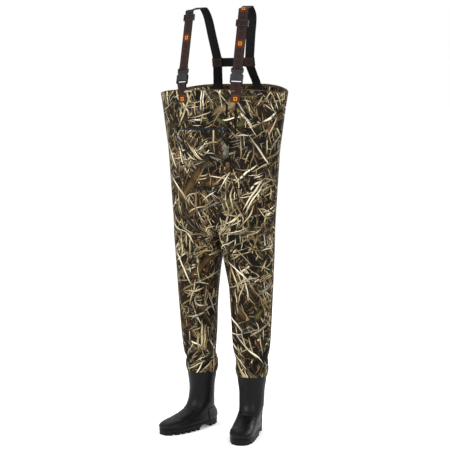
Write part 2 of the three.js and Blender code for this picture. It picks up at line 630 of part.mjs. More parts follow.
function adjusterBody() {
  const tall = 26;
  const rail = 4.2;
  const barTall = 5;
  const inner = WEBBING_WIDTH / 2 + 0.8;
  const web = 2 * WEBBING + GAP; // two layers of webbing run through
  const bar = 2.8;
  const deep = web + 2 * (GAP + bar);
  const rails = [-1, 1].map((sign) => box(rail, deep, tall, sign * (inner + rail / 2), 0, 0));
  const across = 2 * inner + 1;
  const frontAt = (sign) => [0, -(deep - bar) / 2, (sign * (tall - barTall)) / 2];
  const front = [-1, 1].map((sign) => box(across, bar, barTall, ...frontAt(sign)));
  const middle = box(across, bar, barTall, 0, (deep - bar) / 2, 0);
  return join(...rails, ...front, middle);
}

// Webbing along a stretch of a curve, its width turning evenly between two horizontal directions.
function webbingBody(curve, [yawFrom, yawTo], steps, [start, end] = [0, 1]) {
  const [front, back] = [[], []];
  for (let i = 0; i <= steps; i++) {
    const share = lerp(start, end, i / steps);
    const p = curve.getPointAt(share);
    const tangent = curve.getTangentAt(share);
    const yaw = lerp(yawFrom, yawTo, share);
    const level = new THREE.Vector3(Math.cos(yaw), Math.sin(yaw), 0);
    const normal = new THREE.Vector3().crossVectors(level, tangent).normalize();
    const wide = new THREE.Vector3().crossVectors(tangent, normal).normalize();
    const row = (n) => [-1, 1].map((sign) => p.clone()
      .addScaledVector(wide, (sign * WEBBING_WIDTH) / 2).addScaledVector(normal, n));
    front.push(row(-WEBBING / 2));
    back.push(row(WEBBING / 2));
  }
  return sheetBody(front, back);
}

function addFrontSuspender(name, side) {
  const z = RIM_Z;
  const y = -depthAcross(STRAP_X, z);
  const stand = GAP + WEBBING / 2 + 1.1; // clear of the rim's binding
  const facing = Math.atan2(depthAcross(STRAP_X - 1, z) - depthAcross(STRAP_X + 1, z), 2);
  const yaw = side * (facing - degrees(STRAP_EASE));
  const hung = new THREE.Group();
  hung.position.set(side * STRAP_X, y, z);
  hung.rotation.set(0, side * degrees(STRAP_ROLL), yaw, 'ZYX');
  model.add(hung);
  const tilted = new THREE.Group();
  tilted.position.set(0, -stand, BUCKLE_RISE);
  tilted.rotation.x = -degrees(STRAP_TILT);
  hung.add(tilted);

  // tab: sewn down the bib, up round the socket's bar and back to the rim
  const r = LOOP_RADIUS;
  const tabLine = [-TAB_LENGTH, -8, 2].map((u) => new THREE.Vector2(-stand, u));
  const lean = new THREE.Vector2(-stand, BUCKLE_RISE);
  for (let i = 0; i <= 8; i++) {
    const angle = Math.PI * (1 - i / 8) - degrees(STRAP_TILT);
    tabLine.push(new THREE.Vector2(r * Math.cos(angle), r * Math.sin(angle)).add(lean));
  }
  tabLine.push(new THREE.Vector2(-stand + WEBBING + GAP, 6));
  add(`${name}_front_tab`, acrossBody(bandShape(tabLine, WEBBING), WEBBING_WIDTH), 'brown', hung);
  const label = () => roundedPlate(LABEL.size, LABEL.size, LABEL.thick, 2);
  const labelOut = -(WEBBING + LABEL.thick) / 2 - GAP;
  const tabLabel = label().translate(0, -stand + labelOut, LABEL.up - TAB_LENGTH + LABEL.size / 2);
  add(`${name}_tab_label`, tabLabel, 'label', hung);

  add(`${name}_buckle_socket`, socketBody(), 'plastic', tilted);
  const tongue = new THREE.Group();
  tongue.position.z = SOCKET_LENGTH + GAP;
  tilted.add(tongue);
  add(`${name}_buckle_tongue`, tongueBody(), 'plastic', tongue);
  for (const [place, way] of [['inner', -side], ['outer', side]]) {
    const prong = prongBody(way).translate(way * PRONG.x, 0, 0);
    add(`${name}_buckle_${place}_prong`, prong, 'plastic', tongue);
  }

  // front strap: from the shoulder bend down round the tongue's bar and back up to the adjuster
  const barAt = TONGUE_LENGTH - BAR / 2;
  const near = LAYER_OUT;
  const adjusterAt = ADJUSTER_AT[name];
  const backEnd = adjusterAt + 8;
  const line = loopLine([[-near, -FRONT_STRAP_LENGTH], [-near, -FRONT_STRAP_LENGTH / 2]], [[near, -backEnd]]);
  const strap = acrossBody(bandShape(line, WEBBING), WEBBING_WIDTH).rotateY(Math.PI).translate(0, 0, barAt);
  add(`${name}_front_strap`, strap, 'brown', tongue);
  const strapLabel = label().translate(0, -near + labelOut, barAt + adjusterAt - LABEL.down);
  add(`${name}_strap_label`, strapLabel, 'label', tongue);

  const adjuster = new THREE.Group();
  adjuster.position.z = barAt + adjusterAt;
  tongue.add(adjuster);
  add(`${name}_strap_adjuster`, adjusterBody(), 'plastic', adjuster);
  model.updateMatrixWorld(true);
  const at = (n, u) => tongue.localToWorld(new THREE.Vector3(0, n, barAt + u));
  return { end: at(-near, FRONT_STRAP_LENGTH + GAP), before: at(-near, FRONT_STRAP_LENGTH - 20), yaw };
}

function addBackSuspender(name, side, front) {
  const top = new THREE.Vector3(side * SHOULDER.x, SHOULDER.y, RIM_Z + SHOULDER_HEIGHT);
  const junction = new THREE.Vector3(side * JUNCTION.x, JUNCTION.y, top.z - JUNCTION.drop);
  const rise = front.end.clone().sub(front.before).normalize();
  const lead = front.end.clone().addScaledVector(rise, 12);
  const aim = junction.clone().add(new THREE.Vector3(0, 0, PATCH.height / 4));
  const behind = top.clone().add(new THREE.Vector3(-side * 3, 16, -2));
  const over = new THREE.Vector3(lerp(top.x, aim.x, 0.16), lerp(top.y, aim.y, 0.56), top.z - 32);
  const before = top.clone().add(new THREE.Vector3(side * 7, -30, -8));
  const route = new THREE.CatmullRomCurve3(
    [front.end, lead, before, top, behind, over, aim.clone().lerp(over, 0.5), aim], false, 'centripetal');
  const yawBack = -side * degrees(JUNCTION.yaw);
  const yaws = [front.yaw, yawBack];
  const seam = SHOULDER_STRAP_LENGTH / route.getLength();
  const next = seam + GAP / route.getLength();
  add(`${name}_shoulder_strap`, webbingBody(route, yaws, 9, [0, seam]), 'brown');
  add(`${name}_back_strap`, webbingBody(route, yaws, 10, [next, 1]), 'black');

  // the lower stretch ends inside the back of the bib
  const inset = FABRIC + FACING + 4 * GAP + WEBBING;
  const backRim = RIM_Z + RIM_RISE;
  const seat = depthAcross(ANCHOR_X, RIM_Z) - inset;
  const foot = new THREE.Vector3(side * ANCHOR_X, seat - 3, backRim - ANCHOR_DEPTH);
  const rim = new THREE.Vector3(side * (ANCHOR_X - 6), seat - 2.5, backRim + 4);
  const start = junction.clone().add(new THREE.Vector3(0, 0, -PATCH.height / 4));
  const lower = new THREE.CatmullRomCurve3(
    [start, start.clone().lerp(rim, 0.5), rim, foot], false, 'centripetal');
  const yawFoot = -side * degrees(ANCHOR_YAW);
  add(`${name}_lower_back_strap`, webbingBody(lower, [yawBack, yawFoot], 8), 'black');

  const reach = PATCH.height / 2;
  const above = route.getPointAt(1 - reach / route.getLength());
  const below = lower.getPointAt(reach / lower.getLength());
  const lean = Math.atan2(below.y - above.y, above.z - below.z);
  for (const [place, way] of [['inner', -1], ['outer', 1]]) {
    const patch = roundedPlate(PATCH.width, PATCH.height, PATCH.thick, 3);
    patch.translate(0, way * (WEBBING / 2 + GAP + 3 + PATCH.thick / 2), 0);
    const mesh = add(`${name}_junction_${place}_patch`, patch, 'brown');
    mesh.position.copy(junction);
    mesh.rotation.set(lean, 0, yawBack, 'ZXY');
  }
  return { junction, lean };
}

function addSuspenders() {
  const ends = SIDES.map(([name, side]) => addBackSuspender(name, side, addFrontSuspender(name, side)));
  const { junction, lean } = ends[0];
  const length = 2 * JUNCTION.x - WEBBING_WIDTH - 4;
  const cross = add('cross_strap', box(length, WEBBING, WEBBING_WIDTH - 4), 'black');
  cross.position.set(0, junction.y, junction.z);
  cross.rotation.x = lean;
}

addPanels();
addSeamTapes();
addRim();
addPocket();
for (const [name, side] of SIDES) addBoot(name, side);
addSuspenders();

// stand the waders on the floor with the middle of their footprint box at the origin
model.updateMatrixWorld(true);
const extent = new THREE.Box3().setFromObject(model, true);
const centre = extent.getCenter(new THREE.Vector3());
model.position.set(-centre.x, -centre.y, -extent.min.z);
model.updateMatrixWorld(true);

export default model;
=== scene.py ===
"""Camouflage chest waders: cloth garment, rubber boots and webbing suspenders on the fixed frame."""
from math import atan2, ceil, copysign, cos, pi, radians, sin, sqrt

import bmesh
import bpy
from mathutils import Matrix, Vector, noise

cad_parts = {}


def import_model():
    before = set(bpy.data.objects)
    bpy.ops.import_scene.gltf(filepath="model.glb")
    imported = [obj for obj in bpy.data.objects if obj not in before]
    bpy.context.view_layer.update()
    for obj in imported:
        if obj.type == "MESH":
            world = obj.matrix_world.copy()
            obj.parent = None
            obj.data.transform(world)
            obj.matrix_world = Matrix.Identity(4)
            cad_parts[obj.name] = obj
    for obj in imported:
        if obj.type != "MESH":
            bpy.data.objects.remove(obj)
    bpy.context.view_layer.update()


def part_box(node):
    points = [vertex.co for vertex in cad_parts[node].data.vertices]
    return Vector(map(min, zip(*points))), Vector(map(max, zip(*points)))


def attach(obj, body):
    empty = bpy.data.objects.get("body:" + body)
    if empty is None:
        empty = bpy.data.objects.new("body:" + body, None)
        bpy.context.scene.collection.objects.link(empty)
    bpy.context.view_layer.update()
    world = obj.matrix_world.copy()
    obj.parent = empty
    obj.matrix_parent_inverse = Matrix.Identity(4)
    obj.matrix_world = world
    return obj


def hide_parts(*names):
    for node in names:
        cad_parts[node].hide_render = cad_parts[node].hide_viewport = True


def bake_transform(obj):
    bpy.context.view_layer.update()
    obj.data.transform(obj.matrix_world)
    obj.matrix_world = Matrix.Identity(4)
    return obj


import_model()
ROOT = "waders"
SIDES = (("right", -1), ("left", 1))
MM = 0.001

# ---------------------------------------------------------------- sizes, in millimetres
BOOT_HEIGHT = 290
HEM_OVERLAP = 56
INSEAM = 586
RISE = 165
BIB_LENGTH = 395
RIM_RISE = 26
RIM_SAG = 22
STRAPS_AT = (0.14, 0.89)
CHEST_W, CHEST_D = 270, 145
HIP_W, HIP_D = 224, 128
THIGH_W, THIGH_D = 106, 104
KNEE_W, KNEE_D = 82, 90
THIGH_FULL = 6.0
LEG_SPREAD = 113
LEG_SET_BACK = 30
FABRIC = 3
FACING_DEPTH = 36
GAP = 0.4
HEM_Z = BOOT_HEIGHT - HEM_OVERLAP
CROTCH_Z = HEM_Z + INSEAM
HIP_Z = CROTCH_Z + RISE
RIM_Z = HIP_Z + BIB_LENGTH
SHAFT_R, ANKLE_R, SHANK_R = 61, 51, 60
FOOT_FRONT, FOOT_BACK, FOOT_W, FOOT_TAPER = 225, 78, 58, 0.17
TOE_OUT = {"right": 19, "left": 11.5}
RUBBER, LUG_DEPTH, SOLE_TOP, WELT, OVERLAY, ARCH_RISE = 3.5, 11, 26, 3, 2.2, 7
WEBBING_W, WEBBING = 40, 1.6
STRAP_X, STRAP_YAW, STRAP_ROLL, STRAP_TILT = 116, 11, 2.6, 13.5
TAB_LENGTH, BUCKLE_RISE = 47, 27
SOCKET_LENGTH, TONGUE_LENGTH, BAR = 42, 17.5, 4
FRONT_STRAP = 224
ADJUSTER_AT = {"right": 209, "left": 180}
SHOULDER_STRAP, SHOULDER_HEIGHT = 84, 330
SHOULDER = (103, 5)
JUNCTION = {"x": 71, "y": 92, "drop": 215, "yaw": 2}
ANCHOR_X, ANCHOR_DEPTH = 93, 45
PATCH = {"width": 44, "height": 38, "thick": 1.6}
LABEL = {"size": 17, "thick": 0.7, "up": 5, "down": 82}
POCKET = {"x": -10, "width": 205, "height": 118, "depth": 11, "below": 154}


def mid(node):
    lo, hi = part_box(node)
    return (Vector(lo) + Vector(hi)) / 2


SHIFT = Vector((0, mid("cross_strap").y / MM - JUNCTION["y"], 0))


def world(x, y, z):
    """A point in the drawing's millimetres, in the frame's metres."""
    return (Vector((x, y, z)) + SHIFT) * MM


def lerp(a, b, t):
    return a + (b - a) * t


def clamp(v, lo=0.0, hi=1.0):
    return max(lo, min(hi, v))


def smooth(v, lo, hi):
    s = clamp((v - lo) / (hi - lo))
    return s * s * (3 - 2 * s)


# ---------------------------------------------------------------- node materials
class Paint:
    """Short calls for building one node tree."""

    def __init__(self, name, group=None):
        if group:
            self.tree = group
            return
        self.material = bpy.data.materials.new(name)
        self.material.use_nodes = True
        self.tree = self.material.node_tree
        self.tree.nodes.clear()
        self.out = self.tree.nodes.new("ShaderNodeOutputMaterial")
        self.shader = self.tree.nodes.new("ShaderNodeBsdfPrincipled")
        self.tree.links.new(self.shader.outputs[0], self.out.inputs[0])

    def put(self, socket, value):
        if isinstance(value, bpy.types.NodeSocket):
            self.tree.links.new(value, socket)
        elif value is not None:
            if hasattr(socket.default_value, "__len__") and not hasattr(value, "__len__"):
                value = (value,) * len(socket.default_value)
            if hasattr(value, "__len__") and len(value) == 3 and len(socket.default_value) == 4:
                value = (*value, 1)
            socket.default_value = value

    def node(self, kind, values=(), **settings):
        n = self.tree.nodes.new("ShaderNode" + kind)
        for key, value in settings.items():
            setattr(n, key, value)
        for key, value in dict(values).items():
            self.put(n.inputs[key], value)
        return n

    def math(self, op, a, b=None, c=None, limit=False):
        n = self.node("Math", operation=op, use_clamp=limit)
        for socket, value in zip(n.inputs, (a, b, c)):
            self.put(socket, value)
        return n.outputs[0]

    def times(self, a, b):
        return self.math("MULTIPLY", a, b)

    def vmath(self, op, a, b=None, scale=None):
        n = self.node("VectorMath", operation=op)
        self.put(n.inputs[0], a)
        if b is not None:
            self.put(n.inputs[1], b)
        if scale is not None:
            self.put(n.inputs["Scale"], scale)
        return n.outputs[1 if op in ("LENGTH", "DISTANCE", "DOT_PRODUCT") else 0]

    def mix(self, share, a, b, blend="MIX"):
        n = self.node("Mix", data_type="RGBA", blend_type=blend)
        self.put(n.inputs[0], share)
        self.put(n.inputs[6], a)
        self.put(n.inputs[7], b)
        return n.outputs[2]

    def span(self, value, from_lo, from_hi, to_lo=0.0, to_hi=1.0, soft=True):
        n = self.node("MapRange", interpolation_type="SMOOTHSTEP" if soft else "LINEAR")
        for socket, v in zip(n.inputs, (value, from_lo, from_hi, to_lo, to_hi)):
            self.put(socket, v)
        return n.outputs[0]

    def noise(self, vector, scale, detail=3, rough=0.55, dims="3D", distort=0.0, output="Fac"):
        return self.node("TexNoise", {"Vector": vector, "Scale": scale, "Detail": detail, "Roughness": rough,
                                      "Distortion": distort}, noise_dimensions=dims).outputs[output]

    def ramp(self, share, stops, hold=False):
        n = self.node("ValToRGB")
        n.color_ramp.interpolation = "CONSTANT" if hold else "LINEAR"
        elements = n.color_ramp.elements
        while len(elements) < len(stops):
            elements.new(0.5)
        for element, (at, colour) in zip(elements, stops):
            element.position = at
            element.color = (*colour, 1)
        self.put(n.inputs[0], share)
        return n.outputs[0]

    def attribute(self, name):
        return self.node("Attribute", attribute_name=name).outputs["Vector"]

    def place(self):
        return self.node("TexCoord").outputs["Object"]

    def parts(self, vector):
        return self.node("SeparateXYZ", {0: vector}).outputs

    def vector(self, x, y, z=0.0):
        return self.node("CombineXYZ", {0: x, 1: y, 2: z}).outputs[0]

    def bump(self, height, strength, distance, under=None):
        n = self.node("Bump", {"Height": height, "Strength": strength, "Distance": distance})
        if under is not None:
            self.put(n.inputs["Normal"], under)
        return n.outputs[0]

    def finish(self, colour, rough, normal=None, **plain):
        """colour and rough may be textures; everything in plain is one value on the shader."""
        self.put(self.shader.inputs["Base Color"], colour)
        self.put(self.shader.inputs["Roughness"], rough)
        if normal is not None:
            self.put(self.shader.inputs["Normal"], normal)
        for key, value in plain.items():
            self.put(self.shader.inputs[key.replace("_", " ")], value)
        return self.material


def srgb(r, g, b):
    return tuple(((v / 255 + 0.055) / 1.055) ** 2.4 if v > 10 else v / 255 / 12.92 for v in (r, g, b))


def blade_group():
    """Scattered long leaves: cells of a stretched, turned and bent plane."""
    tree = bpy.data.node_groups.new("blades", "ShaderNodeTree")
    for name, kind in (("Plane", "NodeSocketVector"), ("Angle", "NodeSocketFloat"), ("Length", "NodeSocketFloat"),
                       ("Width", "NodeSocketFloat"), ("Seed", "NodeSocketFloat"), ("Share", "NodeSocketFloat"),
                       ("Bend", "NodeSocketFloat")):
        tree.interface.new_socket(name, in_out="INPUT", socket_type=kind)
    for name in ("Mask", "Shadow", "Pick", "Ridge", "Streak"):
        tree.interface.new_socket(name, in_out="OUTPUT", socket_type="NodeSocketFloat")
    g = Paint("", tree)
    given = tree.nodes.new("NodeGroupInput").outputs
    result = tree.nodes.new("NodeGroupOutput").inputs
    away = g.vector(g.times(given["Seed"], 3.17), g.times(given["Seed"], 1.93))
    plane = g.vmath("ADD", given["Plane"], away)
    bend = g.noise(plane, 5.0, detail=2, dims="2D", output="Color")
    bend = g.vmath("SCALE", g.vmath("SUBTRACT", bend, (0.5, 0.5, 0.5)), scale=given["Bend"])
    turned = g.node("VectorRotate", {"Vector": g.vmath("ADD", plane, bend), "Angle": given["Angle"]},
                    rotation_type="Z_AXIS").outputs[0]
    along, across, _ = g.parts(turned)
    cell = g.vector(g.math("DIVIDE", along, given["Length"]), g.math("DIVIDE", across, given["Width"]))
    near = g.node("TexVoronoi", {"Vector": cell, "Scale": 1.0, "Randomness": 1.0}, voronoi_dimensions="2D")
    one, two, three = g.node("SeparateColor", {0: near.outputs["Color"]}).outputs
    size = g.math("MULTIPLY_ADD", g.math("POWER", two, 1.6), 0.30, 0.13)
    far = g.math("DIVIDE", near.outputs["Distance"], size)
    there = g.math("LESS_THAN", three, given["Share"])
    g.put(result["Mask"], g.times(g.span(far, 1.0, 0.86), there))
    g.put(result["Shadow"], g.times(g.span(far, 1.75, 0.9), there))
    g.put(result["Pick"], one)
    g.put(result["Ridge"], g.span(far, 1.0, 0.1))
    fibres = g.vector(g.times(along, 14.0), g.times(across, 420.0))
    g.put(result["Streak"], g.noise(fibres, 1.0, detail=2, dims="2D"))
    return tree


BLADES = blade_group()
CREAM, STRAW, TAN = srgb(232, 221, 190), srgb(188, 171, 132), srgb(132, 112, 76)
RUST, LEAF, OLIVE = srgb(96, 66, 41), srgb(78, 58, 34), srgb(76, 72, 42)
BARK, SHADE, GREY = srgb(46, 36, 24), srgb(13, 10, 6), srgb(128, 124, 112)
# angle, length, width, share, bend, colours
REED_LAYERS = (
    (1.45, 0.100, 0.0340, 0.60, 0.05, (BARK, LEAF, SHADE, GREY, BARK)),
    (0.35, 0.170, 0.0480, 0.45, 0.07, (OLIVE, LEAF, SHADE, BARK, LEAF)),
    (2.30, 0.120, 0.0280, 0.60, 0.06, (LEAF, RUST, BARK, SHADE, OLIVE)),
    (1.20, 0.080, 0.0160, 0.70, 0.06, (RUST, LEAF, TAN, BARK, SHADE)),
    (2.75, 0.070, 0.0130, 0.70, 0.05, (TAN, BARK, LEAF, GREY, SHADE)),
    (1.75, 0.090, 0.0100, 0.75, 0.08, (STRAW, BARK, TAN, LEAF, SHADE)),
    (0.75, 0.120, 0.0100, 0.75, 0.09, (TAN, STRAW, SHADE, LEAF, GREY)),
    (2.15, 0.100, 0.0090, 0.70, 0.09, (SHADE, TAN, BARK, RUST, STRAW)),
    (1.35, 0.130, 0.0085, 0.70, 0.09, (TAN, SHADE, LEAF, STRAW, BARK)),
    (2.55, 0.170, 0.0110, 0.50, 0.07, (CREAM, TAN, BARK, RUST, STRAW)),
    (1.05, 0.180, 0.0100, 0.45, 0.07, (STRAW, CREAM, OLIVE, TAN, BARK)),
    (0.20, 0.150, 0.0085, 0.30, 0.09, (STRAW, TAN, SHADE, CREAM, LEAF)),
    (2.35, 0.240, 0.0460, 0.20, 0.06, (OLIVE, LEAF, SHADE, RUST, TAN)),
    (0.85, 0.260, 0.0540, 0.15, 0.06, (LEAF, TAN, SHADE, BARK, OLIVE)),
    (1.60, 0.190, 0.0090, 0.34, 0.06, (CREAM, STRAW, TAN, SHADE, STRAW)),
    (2.80, 0.170, 0.0075, 0.26, 0.08, (CREAM, STRAW, GREY, TAN, STRAW)),
    (0.95, 0.230, 0.0110, 0.20, 0.04, (CREAM, STRAW, CREAM, TAN, STRAW)),
    (2.10, 0.260, 0.0120, 0.14, 0.04, (STRAW, CREAM, TAN, CREAM, TAN)),
)


def camo_material():
    p = Paint("camo_cloth")
    plane = p.attribute("cloth")
    ground = p.noise(plane, 22.0, detail=4, dims="2D", distort=0.6)
    soils = ((0.32, SHADE), (0.50, srgb(28, 21, 12)), (0.62, srgb(44, 33, 20)), (0.78, srgb(64, 48, 28)))
    colour = p.ramp(ground, soils)
    zones = p.noise(plane, 5.5, detail=2, dims="2D")
    thick = p.span(zones, 0.36, 0.6, 0.55, 1.15)
    for i, (angle, length, width, share, bend, colours) in enumerate(REED_LAYERS):
        layer = p.tree.nodes.new("ShaderNodeGroup")
        layer.node_tree = BLADES
        keep = share if i < 3 else p.times(thick, share)
        for key, value in (("Plane", plane), ("Angle", angle), ("Length", length), ("Width", width),
                           ("Seed", 1.0 + i), ("Share", keep), ("Bend", bend)):
            p.put(layer.inputs[key], value)
        got = layer.outputs
        stops = tuple((k / len(colours), c) for k, c in enumerate(colours))
        blade = p.ramp(got["Pick"], stops, hold=True)
        lit = p.times(p.span(got["Ridge"], 0.0, 1.0, 0.5, 1.08),
                     p.span(got["Streak"], 0.3, 0.7, 0.6, 1.25))
        blade = p.mix(1.0, blade, p.vector(lit, lit, lit), "MULTIPLY")
        colour = p.mix(p.times(got["Shadow"], 0.72), colour, SHADE)
        colour = p.mix(got["Mask"], colour, blade)
    dusk = p.noise(plane, 9.0, detail=3, dims="2D", distort=0.8)
    colour = p.mix(p.span(dusk, 0.5, 0.64, 0.0, 0.5), colour, SHADE)
    speck = p.noise(plane, 900.0, detail=1, dims="2D")
    colour = p.mix(p.span(speck, 0.3, 0.7, 0.0, 0.16), colour, (0.01, 0.009, 0.006))
    x, y, _ = p.parts(plane)
    weave = p.times(p.math("SINE", p.times(x, 7200.0)),
                   p.math("SINE", p.times(y, 7200.0)))
    normal = p.bump(weave, 0.12, 0.0002)
    creases = p.noise(plane, 48.0, detail=4, rough=0.6, dims="2D", distort=1.2)
    normal = p.bump(creases, 0.35, 0.0035, normal)
    rough = p.span(speck, 0.2, 0.8, 0.66, 0.84)
    return p.finish(colour, rough, normal, Specular_IOR_Level=0.08)


def rubber_material(name, base, rough, grain, wear):
    p = Paint(name)
    at = p.place()
    cloudy = p.noise(at, 26.0, detail=4)
    colour = p.mix(p.span(cloudy, 0.3, 0.72), base, tuple(v * 1.55 for v in base))
    dust = p.noise(at, 120.0, detail=3, rough=0.7)
    colour = p.mix(p.span(dust, 0.56, 0.78, 0.0, wear), colour, srgb(92, 90, 84))
    fine = p.noise(at, grain, detail=2)
    normal = p.bump(fine, 0.25, 0.0003)
    broad = p.noise(at, 34.0, detail=3)
    normal = p.bump(broad, 0.3, 0.0022, normal)
    shine = p.span(p.noise(at, 70.0, detail=3), 0.25, 0.75, rough - 0.07, rough + 0.1)
    return p.finish(colour, shine, normal, Specular_IOR_Level=0.15)


def webbing_material(name, base, light, figure=None):
    """Ribbed webbing: cords along it and picks across it, with painted shade in their hollows and painted highlight on
    their ridges, darker selvedges, and a woven figure.
    """
    p = Paint(name)
    plane = p.attribute("cloth")
    across, along, patch = p.parts(plane)
    rib = p.math("SINE", p.times(across, 2 * pi / 0.0016))
    lean = p.math("PINGPONG", across, 0.008)
    pick = p.math("SINE", p.times(p.math("ADD", along, lean), 2 * pi / 0.0021))
    weave = p.math("MULTIPLY_ADD", p.times(rib, pick), 0.5, 0.5)
    fuzz = p.noise(plane, 700.0, detail=2, dims="2D")
    # painted shade and highlight: the weave's hollows are darkened and its ridges lightened by the height that the bump
    # uses, times a random yarn tone from fuzz
    rib_shade_and_fuzz = p.times(p.span(weave, 0.0, 1.0, 0.72, 1.15, False), p.span(fuzz, 0.25, 0.75, 0.8, 1.2))
    colour = p.mix(p.noise(plane, 60.0, detail=3, dims="2D"), base, light)
    if figure:
        middle = p.math("ABSOLUTE", across)
        dash = p.math("LESS_THAN", p.math("PINGPONG", along, 0.011), 0.0075)
        band = p.times(p.math("LESS_THAN", middle, 0.0062), dash)
        hollow = p.math("LESS_THAN", p.math("ABSOLUTE", p.math("SUBTRACT", middle, 0.0045)), 0.0022)
        colour = p.mix(p.times(p.times(band, hollow), 0.75), colour, figure)
    colour = p.mix(p.times(patch, 0.9), colour, srgb(84, 38, 9))
    edge = p.span(p.math("ABSOLUTE", across), 0.0165, 0.0196)
    colour = p.mix(p.times(edge, 0.45), colour, (0.006, 0.005, 0.005))
    colour = p.mix(1.0, colour, p.vector(rib_shade_and_fuzz, rib_shade_and_fuzz, rib_shade_and_fuzz), "MULTIPLY")
    normal = p.bump(weave, 0.5, 0.0005)
    return p.finish(colour, p.span(fuzz, 0.2, 0.8, 0.68, 0.88), normal, Specular_IOR_Level=0.12)


def plastic_material(name, base, rough):
    p = Paint(name)
    at = p.place()
    spark = p.noise(at, 1600.0, detail=2)
    cloudy = p.noise(at, 60.0, detail=3)
    colour = p.mix(p.span(cloudy, 0.3, 0.7), base, tuple(v * 1.5 for v in base))
    scuff = p.noise(at, 260.0, detail=4, rough=0.7, distort=1.0)
    colour = p.mix(p.span(scuff, 0.6, 0.75, 0.0, 0.14), colour, srgb(110, 110, 112))
    return p.finish(colour, p.span(cloudy, 0.3, 0.7, rough - 0.06, rough + 0.08), p.bump(spark, 0.2, 0.0002),
                    Specular_IOR_Level=0.28)


def cloth_material(name, base, light, scale):
    """A plain coated cloth: fine crossed threads over a soft mottle."""
    p = Paint(name)
    at = p.place()
    x, y, z = p.parts(at)
    step = 2 * pi / scale
    warp = p.math("SINE", p.times(p.math("ADD", x, y), step))
    weft = p.math("SINE", p.times(z, step))
    weave = p.math("MULTIPLY_ADD", p.times(warp, weft), 0.5, 0.5)
    mottle = p.noise(at, 35.0, detail=4)
    colour = p.mix(p.span(mottle, 0.3, 0.7), base, light)
    colour = p.mix(p.span(weave, 0.0, 1.0, 0.0, 0.25, False), colour, (0.004, 0.004, 0.004))
    normal = p.bump(weave, 0.3, 0.0003)
    return p.finish(colour, p.span(mottle, 0.2, 0.8, 0.7, 0.9), normal, Specular_IOR_Level=0.12)


def label_material():
    """A plain woven label with a lighter frame; its face is 17 mm square."""
    p = Paint("label_cloth")
    u, v, _ = p.parts(p.attribute("cloth"))
    out = p.math("MAXIMUM", p.math("ABSOLUTE", u), p.math("ABSOLUTE", v))
    thread = p.noise(p.attribute("cloth"), 900.0, detail=2, dims="2D")
    colour = p.mix(p.span(thread, 0.3, 0.7), srgb(82, 36, 7), srgb(98, 46, 10))
    ring = p.times(p.span(out, 0.0034, 0.0042), p.span(out, 0.0074, 0.0066))
    colour = p.mix(p.times(ring, 0.85), colour, srgb(186, 126, 42))
    ribs = p.math("SINE", p.times(u, 2 * pi / 0.0009))
    return p.finish(colour, p.span(thread, 0.2, 0.8, 0.6, 0.8), p.bump(ribs, 0.3, 0.0002), Specular_IOR_Level=0.12)


CAMO = camo_material()
MATERIAL = {
    "camo": CAMO,
    "lining": cloth_material("lining_cloth", srgb(34, 32, 28), srgb(50, 46, 40), 0.0016),
    "binding": cloth_material("binding_cloth", srgb(48, 38, 24), srgb(86, 72, 48), 0.0014),
    "rubber": rubber_material("boot_rubber", srgb(5, 5, 6), 0.40, 900.0, 0.015),
    "sole": rubber_material("sole_rubber", srgb(7, 7, 7), 0.55, 1100.0, 0.05),
    "brown": webbing_material("brown_web", srgb(34, 22, 19), srgb(50, 35, 31), srgb(14, 8, 9)),
    "black": webbing_material("black_web", srgb(9, 9, 10), srgb(17, 17, 19)),
    "plastic": plastic_material("buckle_plastic", srgb(11, 11, 12), 0.30),
    "metal": plastic_material("zip_metal", srgb(84, 84, 88), 0.34),
    "zip": cloth_material("zip_tape_cloth", srgb(20, 22, 28), srgb(34, 37, 47), 0.0012),
    "insole": cloth_material("insole_felt", srgb(46, 45, 44), srgb(66, 64, 62), 0.0022),
    "label": label_material(),
}
MATERIAL["metal"].node_tree.nodes["Principled BSDF"].inputs["Metallic"].default_value = 0.9


# ---------------------------------------------------------------- mesh helpers
def piece(name, points, faces, material, body=ROOT, replaces=(), cloth=None):
    """A smooth mesh that rides body, in its material's slot, with an attribute that its weave or print follows."""
    mesh = bpy.data.meshes.new(name)
    mesh.from_pydata([tuple(p) for p in points], [], faces)
    mesh.update()
    obj = bpy.data.objects.new(name, mesh)
    bpy.context.scene.collection.objects.link(obj)
    mesh.materials.append(MATERIAL[material])
    mesh.shade_smooth()
    if cloth:
        layer = mesh.attributes.new("cloth", "FLOAT_VECTOR", "POINT")
        for i, value in enumerate(cloth):
            layer.data[i].vector = value
    if body:
        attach(obj, body)
    if replaces:
        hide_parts(*replaces)
    return obj


def grid_faces(rows, columns, wrapped=False, start=0):
    last = columns if wrapped else columns - 1
    faces = []
    for r in range(rows - 1):
        for c in range(last):
            a, b = start + r * columns + c, start + r * columns + (c + 1) % columns
            faces.append((a, b, b + columns, a + columns))
    return faces


def outward(obj):
    mesh = bmesh.new()
    mesh.from_mesh(obj.data)
    bmesh.ops.recalc_face_normals(mesh, faces=mesh.faces)
    mesh.to_mesh(obj.data)
    mesh.free()


def modify(obj, kind, **settings):
    m = obj.modifiers.new(kind.lower(), kind)
    for key, value in settings.items():
        setattr(m, key, value)
    return m


def apply_all(obj):
    ready = obj.evaluated_get(bpy.context.evaluated_depsgraph_get())
    mesh = bpy.data.meshes.new_from_object(ready)
    obj.modifiers.clear()
    obj.data = mesh


